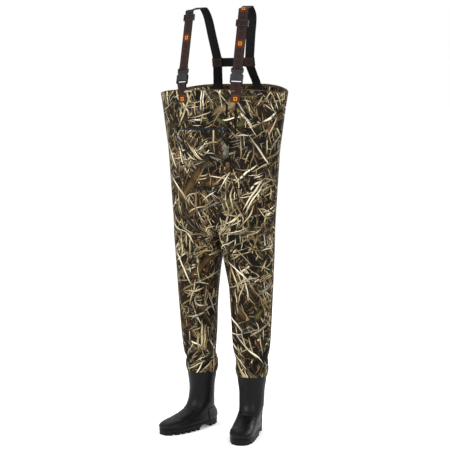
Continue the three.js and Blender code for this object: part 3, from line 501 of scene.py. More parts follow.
def refined(node, material, body, width):
    """A CAD node's own shape with its flats merged and its edges rounded."""
    source = bpy.data.objects[node]
    mesh = bmesh.new()
    mesh.from_mesh(source.data)
    bmesh.ops.remove_doubles(mesh, verts=mesh.verts, dist=1e-6)
    bmesh.ops.dissolve_limit(mesh, angle_limit=radians(1), verts=mesh.verts, edges=mesh.edges)
    data = bpy.data.meshes.new(node + "_fine")
    mesh.to_mesh(data)
    mesh.free()
    data.materials.clear()
    data.materials.append(MATERIAL[material])
    obj = bpy.data.objects.new(node + "_fine", data)
    bpy.context.scene.collection.objects.link(obj)
    modify(obj, "BEVEL", width=width, segments=2, limit_method="ANGLE", angle_limit=radians(28))
    apply_all(obj)
    obj.data.shade_smooth()
    modify(obj, "WEIGHTED_NORMAL", keep_sharp=True)
    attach(obj, body)
    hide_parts(node)


# ---------------------------------------------------------------- the garment's surface
def profile(stations, soften=26):
    def straight(z):
        i = 1
        while i < len(stations) - 1 and z > stations[i][0]:
            i += 1
        (z0, v0), (z1, v1) = stations[i - 1], stations[i]
        return lerp(v0, v1, clamp((z - z0) / (z1 - z0)))

    def rounded(z):
        room = min(soften, z - stations[0][0], stations[-1][0] - z)
        if room <= 0:
            return straight(z)
        return sum(straight(z + room * k / 3) for k in range(-3, 4)) / 7
    return rounded


HEM_R = SHANK_R + GAP + FABRIC + 0.8
CUFF_R = SHAFT_R + GAP + FABRIC + 0.8
KNEE_Z = HEM_Z + INSEAM * 0.52
CALF_Z = HEM_Z + INSEAM * 0.3
torso_width = profile([(CROTCH_Z, 2 * THIGH_W + 1), (HIP_Z, HIP_W),
                       (HIP_Z + BIB_LENGTH * 0.42, lerp(HIP_W, CHEST_W, 0.26)),
                       (RIM_Z - FACING_DEPTH, lerp(HIP_W, CHEST_W, 0.86)), (RIM_Z, CHEST_W)])
torso_depth = profile([(CROTCH_Z, THIGH_D / sin(pi / 3)), (HIP_Z, HIP_D), (RIM_Z, CHEST_D)])
leg_width = profile([(HEM_Z, HEM_R), (BOOT_HEIGHT, CUFF_R), (CALF_Z, lerp(CUFF_R, KNEE_W, 0.55)),
                     (KNEE_Z, KNEE_W), (CROTCH_Z, THIGH_W)])
leg_depth = profile([(HEM_Z, HEM_R), (BOOT_HEIGHT, CUFF_R), (CALF_Z, lerp(CUFF_R, KNEE_D, 0.6)),
                     (KNEE_Z, KNEE_D), (CROTCH_Z, THIGH_D)])
leg_spread = profile([(HEM_Z, LEG_SPREAD), (KNEE_Z, LEG_SPREAD), (CROTCH_Z, THIGH_W + 1)])
leg_set_back = profile([(HEM_Z, LEG_SET_BACK), (BOOT_HEIGHT, LEG_SET_BACK), (CROTCH_Z, 0)])


def section(side, t, z):
    """t runs from the front middle (0) round the outside (0.5) to the back middle (1)."""
    phi = (2 * t - 1) * pi
    s = clamp((z - CROTCH_Z) / RISE)
    w = 1 - sqrt(1 - (1 - s) ** 2)
    share = abs(phi) / pi
    low = 1 - smooth(z, HIP_Z, HIP_Z + RISE)
    angle = copysign(pi / 2, phi) * lerp(share, share * (5 - 2 * share) / 3, low)
    torso = torso_width(z) * cos(angle), torso_depth(z) * sin(angle)
    # the cloth keeps the thighs together a little way below the crotch
    full = THIGH_FULL * (1 - smooth(abs(z - CROTCH_Z + 52), 0, 80)) * max(0.0, -cos(phi)) ** 2
    leg = leg_spread(z) + leg_width(z) * cos(phi) - full, leg_set_back(z) + leg_depth(z) * sin(phi)
    return Vector((side * (GAP / 2 + lerp(torso[0], leg[0], w)), lerp(torso[1], leg[1], w)))


def garment_point(side, t, z, inset=0.0):
    inset += 2.2 * (1 - smooth(z, HEM_Z, HEM_Z + 22))
    step = 1e-4
    ahead = (section(side, min(t + step, 1), z) - section(side, max(t - step, 0), z)).normalized()
    p = section(side, t, z) + Vector((ahead.y, -ahead.x)) * (-side * inset)
    beside = clamp((t - STRAPS_AT[0]) / (STRAPS_AT[1] - STRAPS_AT[0]))
    lift = RIM_RISE * smooth(t, 0.1, 0.9) - RIM_SAG * sin(pi * beside) ** 2
    return Vector((p.x, p.y, z + lift * max(0, (z - HIP_Z) / BIB_LENGTH)))


ROWS = 112
AROUND = 56  # steps round one half, seams at 0, 28 and 56
CROTCH_ROW = round(ROWS * INSEAM / (INSEAM + RISE + BIB_LENGTH))


def row_height(r):
    if r <= CROTCH_ROW:
        return lerp(HEM_Z, CROTCH_Z, r / CROTCH_ROW)
    return lerp(CROTCH_Z, RIM_Z, (r - CROTCH_ROW) / (ROWS - CROTCH_ROW))


def garment_grid():
    """The whole garment as one sheet: points, and their numbers by side, row and step."""
    points, index, shared = [], {}, {}
    for name, side in SIDES:
        for r in range(ROWS + 1):
            z = row_height(r)
            for c in range(AROUND + 1):
                p = garment_point(side, c / AROUND, z)
                key = None
                if c in (0, AROUND):
                    # the two halves share their middle seams above the crotch, each leg its inseam below
                    if r > CROTCH_ROW:
                        key = (r, c)
                        p.x = 0
                    elif r == CROTCH_ROW:
                        key = "crotch"
                        p.x = 0
                    else:
                        key = (name, r)
                if key is not None and key in shared:
                    index[name, r, c] = shared[key]
                    continue
                index[name, r, c] = len(points)
                if key is not None:
                    shared[key] = len(points)
                points.append(p)
    return points, index


DRAPE = {"quality": 5, "mass": 0.25, "tension_stiffness": 14, "compression_stiffness": 14, "shear_stiffness": 6,
         "bending_stiffness": 0.25, "air_damping": 4, "vertex_group_mass": "hold", "pin_stiffness": 1}
DRAPE_FRAMES = 26
DRAPE_CAP = 0.013  # how far a point may move from the drawn shape


def draped(points, index):
    """The sheet, cut a little long and let down by a cloth simulation that its shape holds back."""
    faces = []
    for name, _ in SIDES:
        for r in range(ROWS):
            for c in range(AROUND):
                corners = ((r, c), (r, c + 1), (r + 1, c + 1), (r + 1, c))
                faces.append(tuple(index[name, i, j] for i, j in corners))
    start = [p * MM for p in points]
    mesh = bpy.data.meshes.new("drape")
    mesh.from_pydata([tuple(p) for p in start], [], faces)
    obj = bpy.data.objects.new("drape", mesh)
    bpy.context.scene.collection.objects.link(obj)
    outward(obj)
    obj.shape_key_add(name="Basis")
    rest = obj.shape_key_add(name="cut")
    for i, p in enumerate(start):
        rest.data[i].co = (p.x * 1.022, p.y * 1.022, p.z * 1.038)
    hold = obj.vertex_groups.new(name="hold")
    for i, p in enumerate(points):
        z = p.z
        low = 1 - smooth(z, HEM_Z + 14, HEM_Z + 60)
        high = smooth(z, RIM_Z - 70, RIM_Z - 20)
        pouch = 1.0 if abs(p.x - POCKET["x"]) < 112 and p.y < 0 and RIM_Z - 290 < z < RIM_Z - 138 else 0.0
        weight = max(low, high, 0.6 * pouch, 0.035)
        hold.add([i], clamp(weight), "REPLACE")
    cloth = modify(obj, "CLOTH")
    for key, value in DRAPE.items():
        setattr(cloth.settings, key, value)
    cloth.settings.rest_shape_key = rest
    cloth.settings.effector_weights.gravity = 0.6
    cloth.collision_settings.use_collision = False
    scene = bpy.context.scene
    scene.frame_start, scene.frame_end = 1, DRAPE_FRAMES + 4
    cloth.point_cache.frame_end = DRAPE_FRAMES + 4
    for f in range(1, DRAPE_FRAMES + 1):
        scene.frame_set(f)
    ready = obj.evaluated_get(bpy.context.evaluated_depsgraph_get())
    result = [v.co.copy() for v in ready.data.vertices]
    scene.frame_set(1)
    bpy.data.objects.remove(obj)
    moved = []
    for p, q in zip(start, result):
        step = q - p
        if step.length > DRAPE_CAP:
            step *= DRAPE_CAP / step.length
        moved.append(p + step)
    return moved


def add_garment():
    points, index = garment_grid()
    shape = draped(points, index)
    shape = [p + SHIFT * MM for p in shape]
    pattern_at = ((0.31, 0.0), (2.3, 0.4))
    for name, side in SIDES:
        for back in (0, 1):
            first, last = (0, AROUND // 2) if not back else (AROUND // 2, AROUND)
            pts, cloth, number = [], [], {}
            for r in range(ROWS + 1):
                z = row_height(r)
                run, before = 0.0, None
                line = []
                for c in range(first, last + 1):
                    p = garment_point(side, c / AROUND, z)
                    if before is not None:
                        run += (p.xy - before).length
                    before = p.xy.copy()
                    line.append(run)
                # the print runs on across the middle seam, front and back
                base = line[-1] if back else 0.0
                for k, c in enumerate(range(first, last + 1)):
                    number[r, c] = len(pts)
                    pts.append(shape[index[name, r, c]])
                    u = (line[k] - base) * MM * side
                    ox, oy = pattern_at[back]
                    cloth.append((u + ox, z * MM + oy, 0.0))
            faces = [(number[r, c], number[r, c + 1], number[r + 1, c + 1], number[r + 1, c])
                     for r in range(ROWS) for c in range(first, last)]
            if side > 0:
                faces = [f[::-1] for f in faces]
            label = "back" if back else "front"
            obj = piece(f"{name}_{label}_cloth", pts, faces, "camo",
                        replaces=(f"{name}_{label}_panel",), cloth=cloth)
            weight = obj.vertex_groups.new(name="weight")
            for i, p in enumerate(pts):
                weight.add([i], lerp(0.35, 1, smooth(p.z / MM, HEM_Z, HEM_Z + 22)), "REPLACE")
            modify(obj, "SUBSURF", levels=1, render_levels=1, boundary_smooth="PRESERVE_CORNERS")
            modify(obj, "SOLIDIFY", thickness=FABRIC * MM, offset=-1.0, vertex_group="weight")
            apply_all(obj)
    return shape, index


def inner(shape, index, name, side, r, c, depth):
    """A point of the draped sheet, set in by depth along its normal."""
    def at(row, step):
        return shape[index[name, max(0, min(ROWS, row)), max(0, min(AROUND, step))]]

    across = at(r, c + 1) - at(r, c - 1)
    up = at(r + 1, c) - at(r - 1, c)
    return at(r, c) - across.cross(up).normalized() * side * depth


def add_rim(shape, index):
    """Binding over the top edge and the hem band inside it, both following the draped sheet."""
    ring = [("right", c) for c in range(AROUND + 1)] + [("left", c) for c in range(AROUND - 1, 0, -1)]
    centre = Vector((0, SHIFT.y * MM, 0))

    def loop(r, depth, rise=0.0):
        out = []
        for k, (name, c) in enumerate(ring):
            p = shape[index[name, r, c]]
            before = shape[index[ring[k - 1][0], r, ring[k - 1][1]]]
            nxt = ring[(k + 1) % len(ring)]
            after = shape[index[nxt[0], r, nxt[1]]]
            n = (after - before).cross(Vector((0, 0, 1))).normalized()
            if n.dot(Vector((p.x, p.y, 0)) - centre) < 0:
                n.negate()
            out.append(p - n * depth + Vector((0, 0, rise)))
        return out

    count = len(ring)
    # the binding's section: how far inside the edge, and how far above it
    folded = ((-0.9, -7), (-1.3, -4), (-1.4, 0), (-0.9, 2.2), (0.6, 3.0), (2.6, 3.0), (4.2, 2.2), (4.8, 0), (4.8, -7))
    rows = [loop(ROWS, depth * MM, rise * MM) for depth, rise in folded]
    pts = [p for row in rows for p in row]
    obj = piece("rim_binding_strip", pts, grid_faces(len(rows), count, True), "binding",
                replaces=("rim_binding",))
    modify(obj, "SUBSURF", levels=1, render_levels=1)
    modify(obj, "SOLIDIFY", thickness=0.0005, offset=-1.0)
    apply_all(obj)
    outward(obj)
    band = range(ROWS - 4, ROWS + 1)
    top = [loop(r, 4.0 * MM, -0.6 * MM if r == ROWS else 0.0) for r in band]
    pts = [p for row in top for p in row]
    cloth = [(k * 0.0115 + 3.1, row_height(r) * MM + 0.3, 0) for r in band for k in range(count)]
    obj = piece("rim_facing_band", pts, grid_faces(len(top), count, True), "camo",
                replaces=("rim_facing",), cloth=cloth)
    modify(obj, "SOLIDIFY", thickness=0.0008, offset=1.0)
    apply_all(obj)
    outward(obj)


def add_tapes(shape, index):
    """Heat-sealed tape inside each seam."""
    def strip(node, columns_at, rows):
        pts = []
        for r in rows:
            for name, side, c in columns_at(r):
                pts.append(inner(shape, index, name, side, r, c, (FABRIC + 0.5) * MM))
        width = len(columns_at(rows[0]))
        obj = piece(node + "_strip", pts, grid_faces(len(rows), width), "lining", replaces=(node,))
        modify(obj, "SOLIDIFY", thickness=0.0006, offset=0.0)
        apply_all(obj)
    high = range(CROTCH_ROW + 17, ROWS - 4)
    strip("front_seam_tape", lambda r: [("right", -1, 1), ("right", -1, 0), ("left", 1, 1)], high)
    last = AROUND
    strip("back_seam_tape", lambda r: [("right", -1, last - 1), ("right", -1, last), ("left", 1, last - 1)], high)
    half = AROUND // 2
    low = round(CROTCH_ROW * HEM_OVERLAP / INSEAM) + 1
    for name, side in SIDES:
        strip(f"{name}_side_seam_tape", lambda r: [(name, side, half + k) for k in (-1, 0, 1)], range(low, ROWS - 4))
        strip(f"{name}_inseam_tape", lambda r: [(name, side, last - 1), (name, side, 0), (name, side, 1)],
              range(low, CROTCH_ROW - 2))


# ---------------------------------------------------------------- boots
STATIONS = [
    (SOLE_TOP, FOOT_FRONT - 3, FOOT_BACK - 4, FOOT_W - 1), (34, FOOT_FRONT, FOOT_BACK - 1, FOOT_W),
    (43, FOOT_FRONT - 9, FOOT_BACK, FOOT_W - 1), (50, FOOT_FRONT - 28, FOOT_BACK - 1, FOOT_W - 3),
    (57, FOOT_FRONT - 60, FOOT_BACK - 4, FOOT_W - 4), (67, FOOT_FRONT - 98, FOOT_BACK - 11, FOOT_W - 6),
    (80, FOOT_FRONT - 132, FOOT_BACK - 19, ANKLE_R + 1), (98, ANKLE_R + 22, ANKLE_R + 5, ANKLE_R),
    (125, ANKLE_R + 9, ANKLE_R + 1, ANKLE_R), (165, ANKLE_R + 3, ANKLE_R + 1, ANKLE_R + 1),
    (HEM_Z, SHANK_R, SHANK_R, SHANK_R), (BOOT_HEIGHT, SHAFT_R, SHAFT_R, SHAFT_R),
]


def station(z):
    """The boot's front, back and half width at a height, on smooth curves through the stations."""
    zs = [s[0] for s in STATIONS]
    i = 0
    while i < len(zs) - 2 and z > zs[i + 1]:
        i += 1
    h = zs[i + 1] - zs[i]
    t = clamp((z - zs[i]) / h)
    out = []
    for v in list(zip(*STATIONS))[1:]:
        steps = [(v[k + 1] - v[k]) / (zs[k + 1] - zs[k]) for k in range(len(zs) - 1)]
        slope = []
        for j in (i, i + 1):
            one, two = steps[max(j - 1, 0)], steps[min(j, len(steps) - 1)]
            inner_slope = 0 if one * two <= 0 else 2 * one * two / (one + two)
            slope.append(one if one == two else inner_slope)
        out.append((2 * t ** 3 - 3 * t ** 2 + 1) * v[i] + (t ** 3 - 2 * t ** 2 + t) * h * slope[0]
                   + (-2 * t ** 3 + 3 * t ** 2) * v[i + 1] + (t ** 3 - t ** 2) * h * slope[1])
    return out


def boot_point(side, z, angle, grow):
    front, back, wide = station(z)
    foot = 1 - smooth(z, 60, 120)
    c, s = cos(angle), sin(angle)
    blunt = lambda v: copysign(abs(v) ** (1 - 0.2 * foot), v)
    y = (back - front) / 2 + ((front + back) / 2 + grow) * blunt(c)
    curve = -side * 5 * foot * sin(pi * clamp(-y / 200))
    x = blunt(s) * (wide + grow) * (1 - FOOT_TAPER * foot * (1 + c)) + curve
    return Vector((x, y, z))


def boot_matrix(name, side):
    place = Matrix.Translation(world(side * LEG_SPREAD, LEG_SET_BACK, 0))
    return place @ Matrix.Rotation(side * radians(TOE_OUT[name]), 4, "Z")


def boot_levels(low, high):
    """Heights up the boot: every 2.5 mm in the foot, wider apart up the shaft."""
    foot = min(130, high)
    count = ceil((foot - low) / 2.5)
    levels = [lerp(low, foot, k / count) for k in range(count + 1)]
    return levels + [lerp(foot, high, k / 26) for k in range(1, 27) if high > foot]


AROUND_BOOT = 112
CAP_END, COUNTER_START, COUNTER_TOP = 87 - FOOT_FRONT, 12, 76
LUG, HEEL_LUG = (17, 28, -62), (14.45, 25.2, 8)  # length, pitch and where they end at the arch


def crease(p):
    """Flex lines across the instep, and a shallow dent each side of the ankle."""
    reach = smooth(-p.y, 66, 84) * (1 - smooth(-p.y, 138, 160))
    over = smooth(p.z, 46, 60) * (1 - smooth(abs(p.x), 34, 52))
    wave = sin((-p.y + 0.2 * abs(p.x)) / 15 * 2 * pi)
    fold = 1.5 * reach * over * copysign(abs(wave) ** 0.7, wave)
    ankle = smooth(p.z, 78, 100) * (1 - smooth(p.z, 112, 140)) * smooth(abs(p.x), 30, 48)
    return fold - 1.6 * ankle


def add_boot(name, side):
    place = boot_matrix(name, side)
    m = lambda p: place @ (p * MM)
    floor = SOLE_TOP + GAP
    levels = boot_levels(floor, BOOT_HEIGHT)

    def wall(zs, grow):
        pts = []
        for z in zs:
            for k in range(AROUND_BOOT):
                p = boot_point(side, z, 2 * pi * k / AROUND_BOOT, grow)
                core = Vector((0, clamp(p.y, -150, 20), 30))
                pts.append(p + (p - core).normalized() * crease(p))
        return pts

    pts = wall(levels, 0)
    faces = grid_faces(len(levels), AROUND_BOOT, True)
    base = len(pts)
    pts += [p.lerp(Vector((0, -76, floor)), 0.5) for p in pts[:AROUND_BOOT]]
    pts.append(Vector((0, -76, floor)))
    for k in range(AROUND_BOOT):
        n = (k + 1) % AROUND_BOOT
        faces += [(k, n, base + n, base + k), (base + k, base + n, len(pts) - 1)]
    upper = piece(f"{name}_boot_shell", [m(p) for p in pts], faces, "rubber",
                  replaces=(f"{name}_boot_upper",))
    outward(upper)
    modify(upper, "SOLIDIFY", thickness=RUBBER * MM, offset=-1.0, use_quality_normals=True)
    apply_all(upper)

    def overlay(node, label, cuts):
        skin = wall(boot_levels(floor, 96), GAP + OVERLAY)
        obj = piece(label, skin, grid_faces(len(skin) // AROUND_BOOT, AROUND_BOOT, True), "rubber",
                    replaces=(node,))
        mesh = bmesh.new()
        mesh.from_mesh(obj.data)
        for co, no in cuts:
            geometry = mesh.verts[:] + mesh.edges[:] + mesh.faces[:]
            bmesh.ops.bisect_plane(mesh, geom=geometry, plane_co=co, plane_no=no, clear_outer=True)
        bmesh.ops.recalc_face_normals(mesh, faces=mesh.faces)
        for v in mesh.verts:
            v.co = m(v.co)
        mesh.to_mesh(obj.data)
        mesh.free()
        if sum((f.normal.dot(f.center - m(Vector((0, -70, 60)))) for f in obj.data.polygons)) < 0:
            obj.data.flip_normals()
        modify(obj, "SOLIDIFY", thickness=OVERLAY * MM, offset=-1.0)
        modify(obj, "BEVEL", width=0.0009, segments=2, limit_method="ANGLE", angle_limit=radians(50))
        apply_all(obj)
        obj.data.shade_smooth()

    overlay(f"{name}_boot_toe_cap", f"{name}_toe_cap", [(Vector((0, CAP_END, 0)), Vector((0, 1, 0.35)))])
    overlay(f"{name}_boot_heel_counter", f"{name}_heel_counter", [
        (Vector((0, COUNTER_START, 0)), Vector((0, -1, -0.25))), (Vector((0, 60, COUNTER_TOP)), Vector((0, 0, 1)))])
    add_outsole(name, side, m)


def outline(side, grow, count=AROUND_BOOT):
    return [boot_point(side, SOLE_TOP, 2 * pi * k / count, grow) for k in range(count)]


def add_outsole(name, side, m):
    """A welted plate with rounded lugs under the ball and the heel and a raised arch between."""
    def arch(y):
        return ARCH_RISE * smooth(y, -58, -48) * (1 - smooth(y, -12, -3))

    loops = [(WELT - 2.2, SOLE_TOP), (WELT, SOLE_TOP - 0.8), (WELT + 0.2, SOLE_TOP - 3.0), (WELT - 0.9, SOLE_TOP - 3.8),
             (WELT - 0.9, SOLE_TOP - 4.8), (WELT, SOLE_TOP - 5.6), (WELT, LUG_DEPTH + 2), (WELT - 1.4, LUG_DEPTH)]
    pts = []
    for grow, z in loops:
        pts += [Vector((p.x, p.y, min(SOLE_TOP - 6, z + arch(p.y)) if z < LUG_DEPTH + 3 else z))
                for p in outline(side, grow)]
    n = AROUND_BOOT
    faces = grid_faces(len(loops), n, True)
    # the top and the underside, closed by rungs from side to side so that the arch stays smooth
    for row in (0, len(loops) - 1):
        for k in range(n // 2):
            a, b, c, d = k, k + 1, n - k - 1, (n - k) % n
            faces.append(tuple(dict.fromkeys(row * n + i for i in (a, b, c, d))))
    rim = outline(side, WELT - 0.6, 360)

    def lug(y0, y1):
        inside = [p for p in rim if y0 <= p.y <= y1]
        right = sorted((p for p in inside if p.x > 0), key=lambda p: p.y)
        left = sorted((p for p in inside if p.x <= 0), key=lambda p: -p.y)
        ring = right + left
        centre = sum(ring, Vector()) / len(ring)
        start = len(pts)
        steps = ((0.0, LUG_DEPTH + 1.5), (0.0, 4.0), (0.6, 1.6), (1.6, 0.4), (3.0, 0.0))
        for inset, z in steps:
            for p in ring:
                q = Vector((p.x - copysign(inset, p.x), p.y, z))
                q.y = centre.y + (p.y - centre.y) * (1 - inset / ((y1 - y0) / 2))
                pts.append(q)
        size = len(ring)
        faces.extend(grid_faces(len(steps), size, True, start))
        faces.append(tuple(range(start + (len(steps) - 1) * size, start + len(steps) * size)))
        faces.append(tuple(range(start, start + size)))

    toe, heel = 8 - FOOT_FRONT, FOOT_BACK - 2
    length, pitch, end = LUG
    y = toe
    while y < end:
        lug(y if y > toe else -FOOT_FRONT - WELT, y + length)
        y += pitch
    length, pitch, end = HEEL_LUG
    y = heel
    while y > end:
        lug(y - length, y if y < heel else FOOT_BACK + WELT)
        y -= pitch
    obj = piece(f"{name}_tread", [m(p) for p in pts], faces, "sole",
                replaces=(f"{name}_boot_outsole",))
    outward(obj)
    obj.data.set_sharp_from_angle(angle=radians(38))


# ---------------------------------------------------------------- webbing
def rotation(x, y, z, order):
    """three.js angles: order names the turns from the outside in."""
    turns = {"X": Matrix.Rotation(x, 4, "X"), "Y": Matrix.Rotation(y, 4, "Y"), "Z": Matrix.Rotation(z, 4, "Z")}
    return turns[order[0]] @ turns[order[1]] @ turns[order[2]]


def ribbon(name, stations, material, width=WEBBING_W, body=ROOT, replaces=(), start=0.0, mark=None):
    """Webbing along stations of (middle, across, normal) in metres, with rounded selvedges.

    The weave is rust-coloured round a label, whose middle is mark metres along.
    """
    w, h = width * MM / 2, WEBBING * MM / 2
    shape = [(-w, 0)]
    across = (-0.985, -0.7, -0.35, 0, 0.35, 0.7, 0.985)
    shape += [(w * a, -h) for a in across] + [(w, 0)] + [(w * a, h) for a in reversed(across)]
    pts, cloth, run, before = [], [], start, None
    for p, wide, normal in stations:
        if before is not None:
            run += (p - before).length
        before = p
        for a, b in shape:
            pts.append(p + wide * a + normal * b)
            near = 0 if mark is None else 1 - smooth(abs(run - mark), 0.012, 0.019)
            cloth.append((a, run, near * (1 - smooth(abs(a), 0.011, 0.019))))
    n = len(shape)
    faces = grid_faces(len(stations), n, True)
    faces += [tuple(range(n)), tuple(range(len(pts) - n, len(pts)))]
    obj = piece(name, pts, faces, material, body, replaces, cloth)
    outward(obj)
    obj.data.set_sharp_from_angle(angle=radians(60))
    return obj


def rounded_line(points, spacing):
    """A polyline resampled evenly."""
    total = sum((b - a).length for a, b in zip(points, points[1:]))
    count = max(2, round(total / spacing))
    out, i, passed = [], 0, 0.0
    for k in range(count + 1):
        want = total * k / count
        while i < len(points) - 2 and passed + (points[i + 1] - points[i]).length < want:
            passed += (points[i + 1] - points[i]).length
            i += 1
        length = (points[i + 1] - points[i]).length
        out.append(points[i].lerp(points[i + 1], clamp((want - passed) / length)))
    return out


def side_view(points, place):
    """Stations of a band drawn in (depth, height) and put in place by a matrix."""
    turn = place.to_3x3()
    wide = (turn @ Vector((1, 0, 0))).normalized()
    out = []
    for i, p in enumerate(points):
        a, b = points[max(i - 1, 0)], points[min(i + 1, len(points) - 1)]
        along = (turn @ Vector((0, b.x - a.x, b.y - a.y))).normalized()
        out.append((place @ (Vector((0, p.x, p.y)) * MM), wide, wide.cross(along).normalized()))
    return out


class Route:
    """A centripetal Catmull-Rom curve measured by its length."""

    def __init__(self, points, fine=48):
        ends = [points[0] * 2 - points[1], *points, points[-1] * 2 - points[-2]]
        self.line = [points[0].copy()]
        for i in range(len(points) - 1):
            p0, p1, p2, p3 = ends[i:i + 4]
            d0, d1, d2 = (max((b - a).length ** 0.5, 1e-4) for a, b in ((p0, p1), (p1, p2), (p2, p3)))
            m1 = ((p1 - p0) / d0 - (p2 - p0) / (d0 + d1) + (p2 - p1) / d1) * d1
            m2 = ((p2 - p1) / d1 - (p3 - p1) / (d1 + d2) + (p3 - p2) / d2) * d1
            for k in range(1, fine + 1):
                t = k / fine
                self.line.append(p1 * (2 * t ** 3 - 3 * t ** 2 + 1) + m1 * (t ** 3 - 2 * t ** 2 + t)
                                 + p2 * (3 * t ** 2 - 2 * t ** 3) + m2 * (t ** 3 - t ** 2))
        self.run = [0.0]
        for a, b in zip(self.line, self.line[1:]):
            self.run.append(self.run[-1] + (b - a).length)
        self.length = self.run[-1]

    def at(self, share):
        want = clamp(share) * self.length
        i = 0
        while i < len(self.run) - 2 and self.run[i + 1] < want:
            i += 1
        t = (want - self.run[i]) / (self.run[i + 1] - self.run[i])
        return self.line[i].lerp(self.line[i + 1], clamp(t)), (self.line[i + 1] - self.line[i]).normalized()


def stations_on(route, yaws, low, high, steps):
    out = []
    for i in range(steps + 1):
        share = lerp(low, high, i / steps)
        p, _ = route.at(share)
        tangent = (route.at(share + 0.004)[0] - route.at(share - 0.004)[0]).normalized()
        yaw = lerp(yaws[0], yaws[1], share)
        level = Vector((cos(yaw), sin(yaw), 0))
        normal = level.cross(tangent).normalized()
        wide = tangent.cross(normal).normalized()
        out.append(((p + SHIFT) * MM, wide, normal))
    return out


def plate(name, node, place, width, height, thick, material, radius=2.0):
    """A thin rounded plate facing -Y in its own frame, crowned a little, with its face's coordinates."""
    pts, cloth, faces = [], [], []
    corner = [(sx * (width / 2 - radius), sz * (height / 2 - radius), a0)
              for sx, sz, a0 in ((1, -1, -90), (1, 1, 0), (-1, 1, 90), (-1, -1, 180))]
    ring = []
    for cx, cz, a0 in corner:
        for k in range(7):
            a = radians(a0 + 15 * k)
            ring.append((cx + radius * cos(a), cz + radius * sin(a)))
    levels = ((1.0, thick / 2), (1.0, -thick * 0.2), (0.985, -thick * 0.42), (0.96, -thick / 2), (0.6, -thick * 0.56),
              (0.25, -thick * 0.6))
    for scale, y in levels:
        for x, z in ring:
            pts.append(place @ (Vector((x * scale, y, z * scale)) * MM))
            cloth.append((x * scale * MM, z * scale * MM, 0))
    n = len(ring)
    faces = grid_faces(len(levels), n, True) + [tuple(range(n)), tuple(range((len(levels) - 1) * n, len(levels) * n))]
    obj = piece(name, pts, faces, material, ROOT, (node,) if node else (), cloth)
    outward(obj)
    obj.data.set_sharp_from_angle(angle=radians(50))


def label(name, node, place):
    plate(name, node, place, LABEL["size"], LABEL["size"], LABEL["thick"], "label")


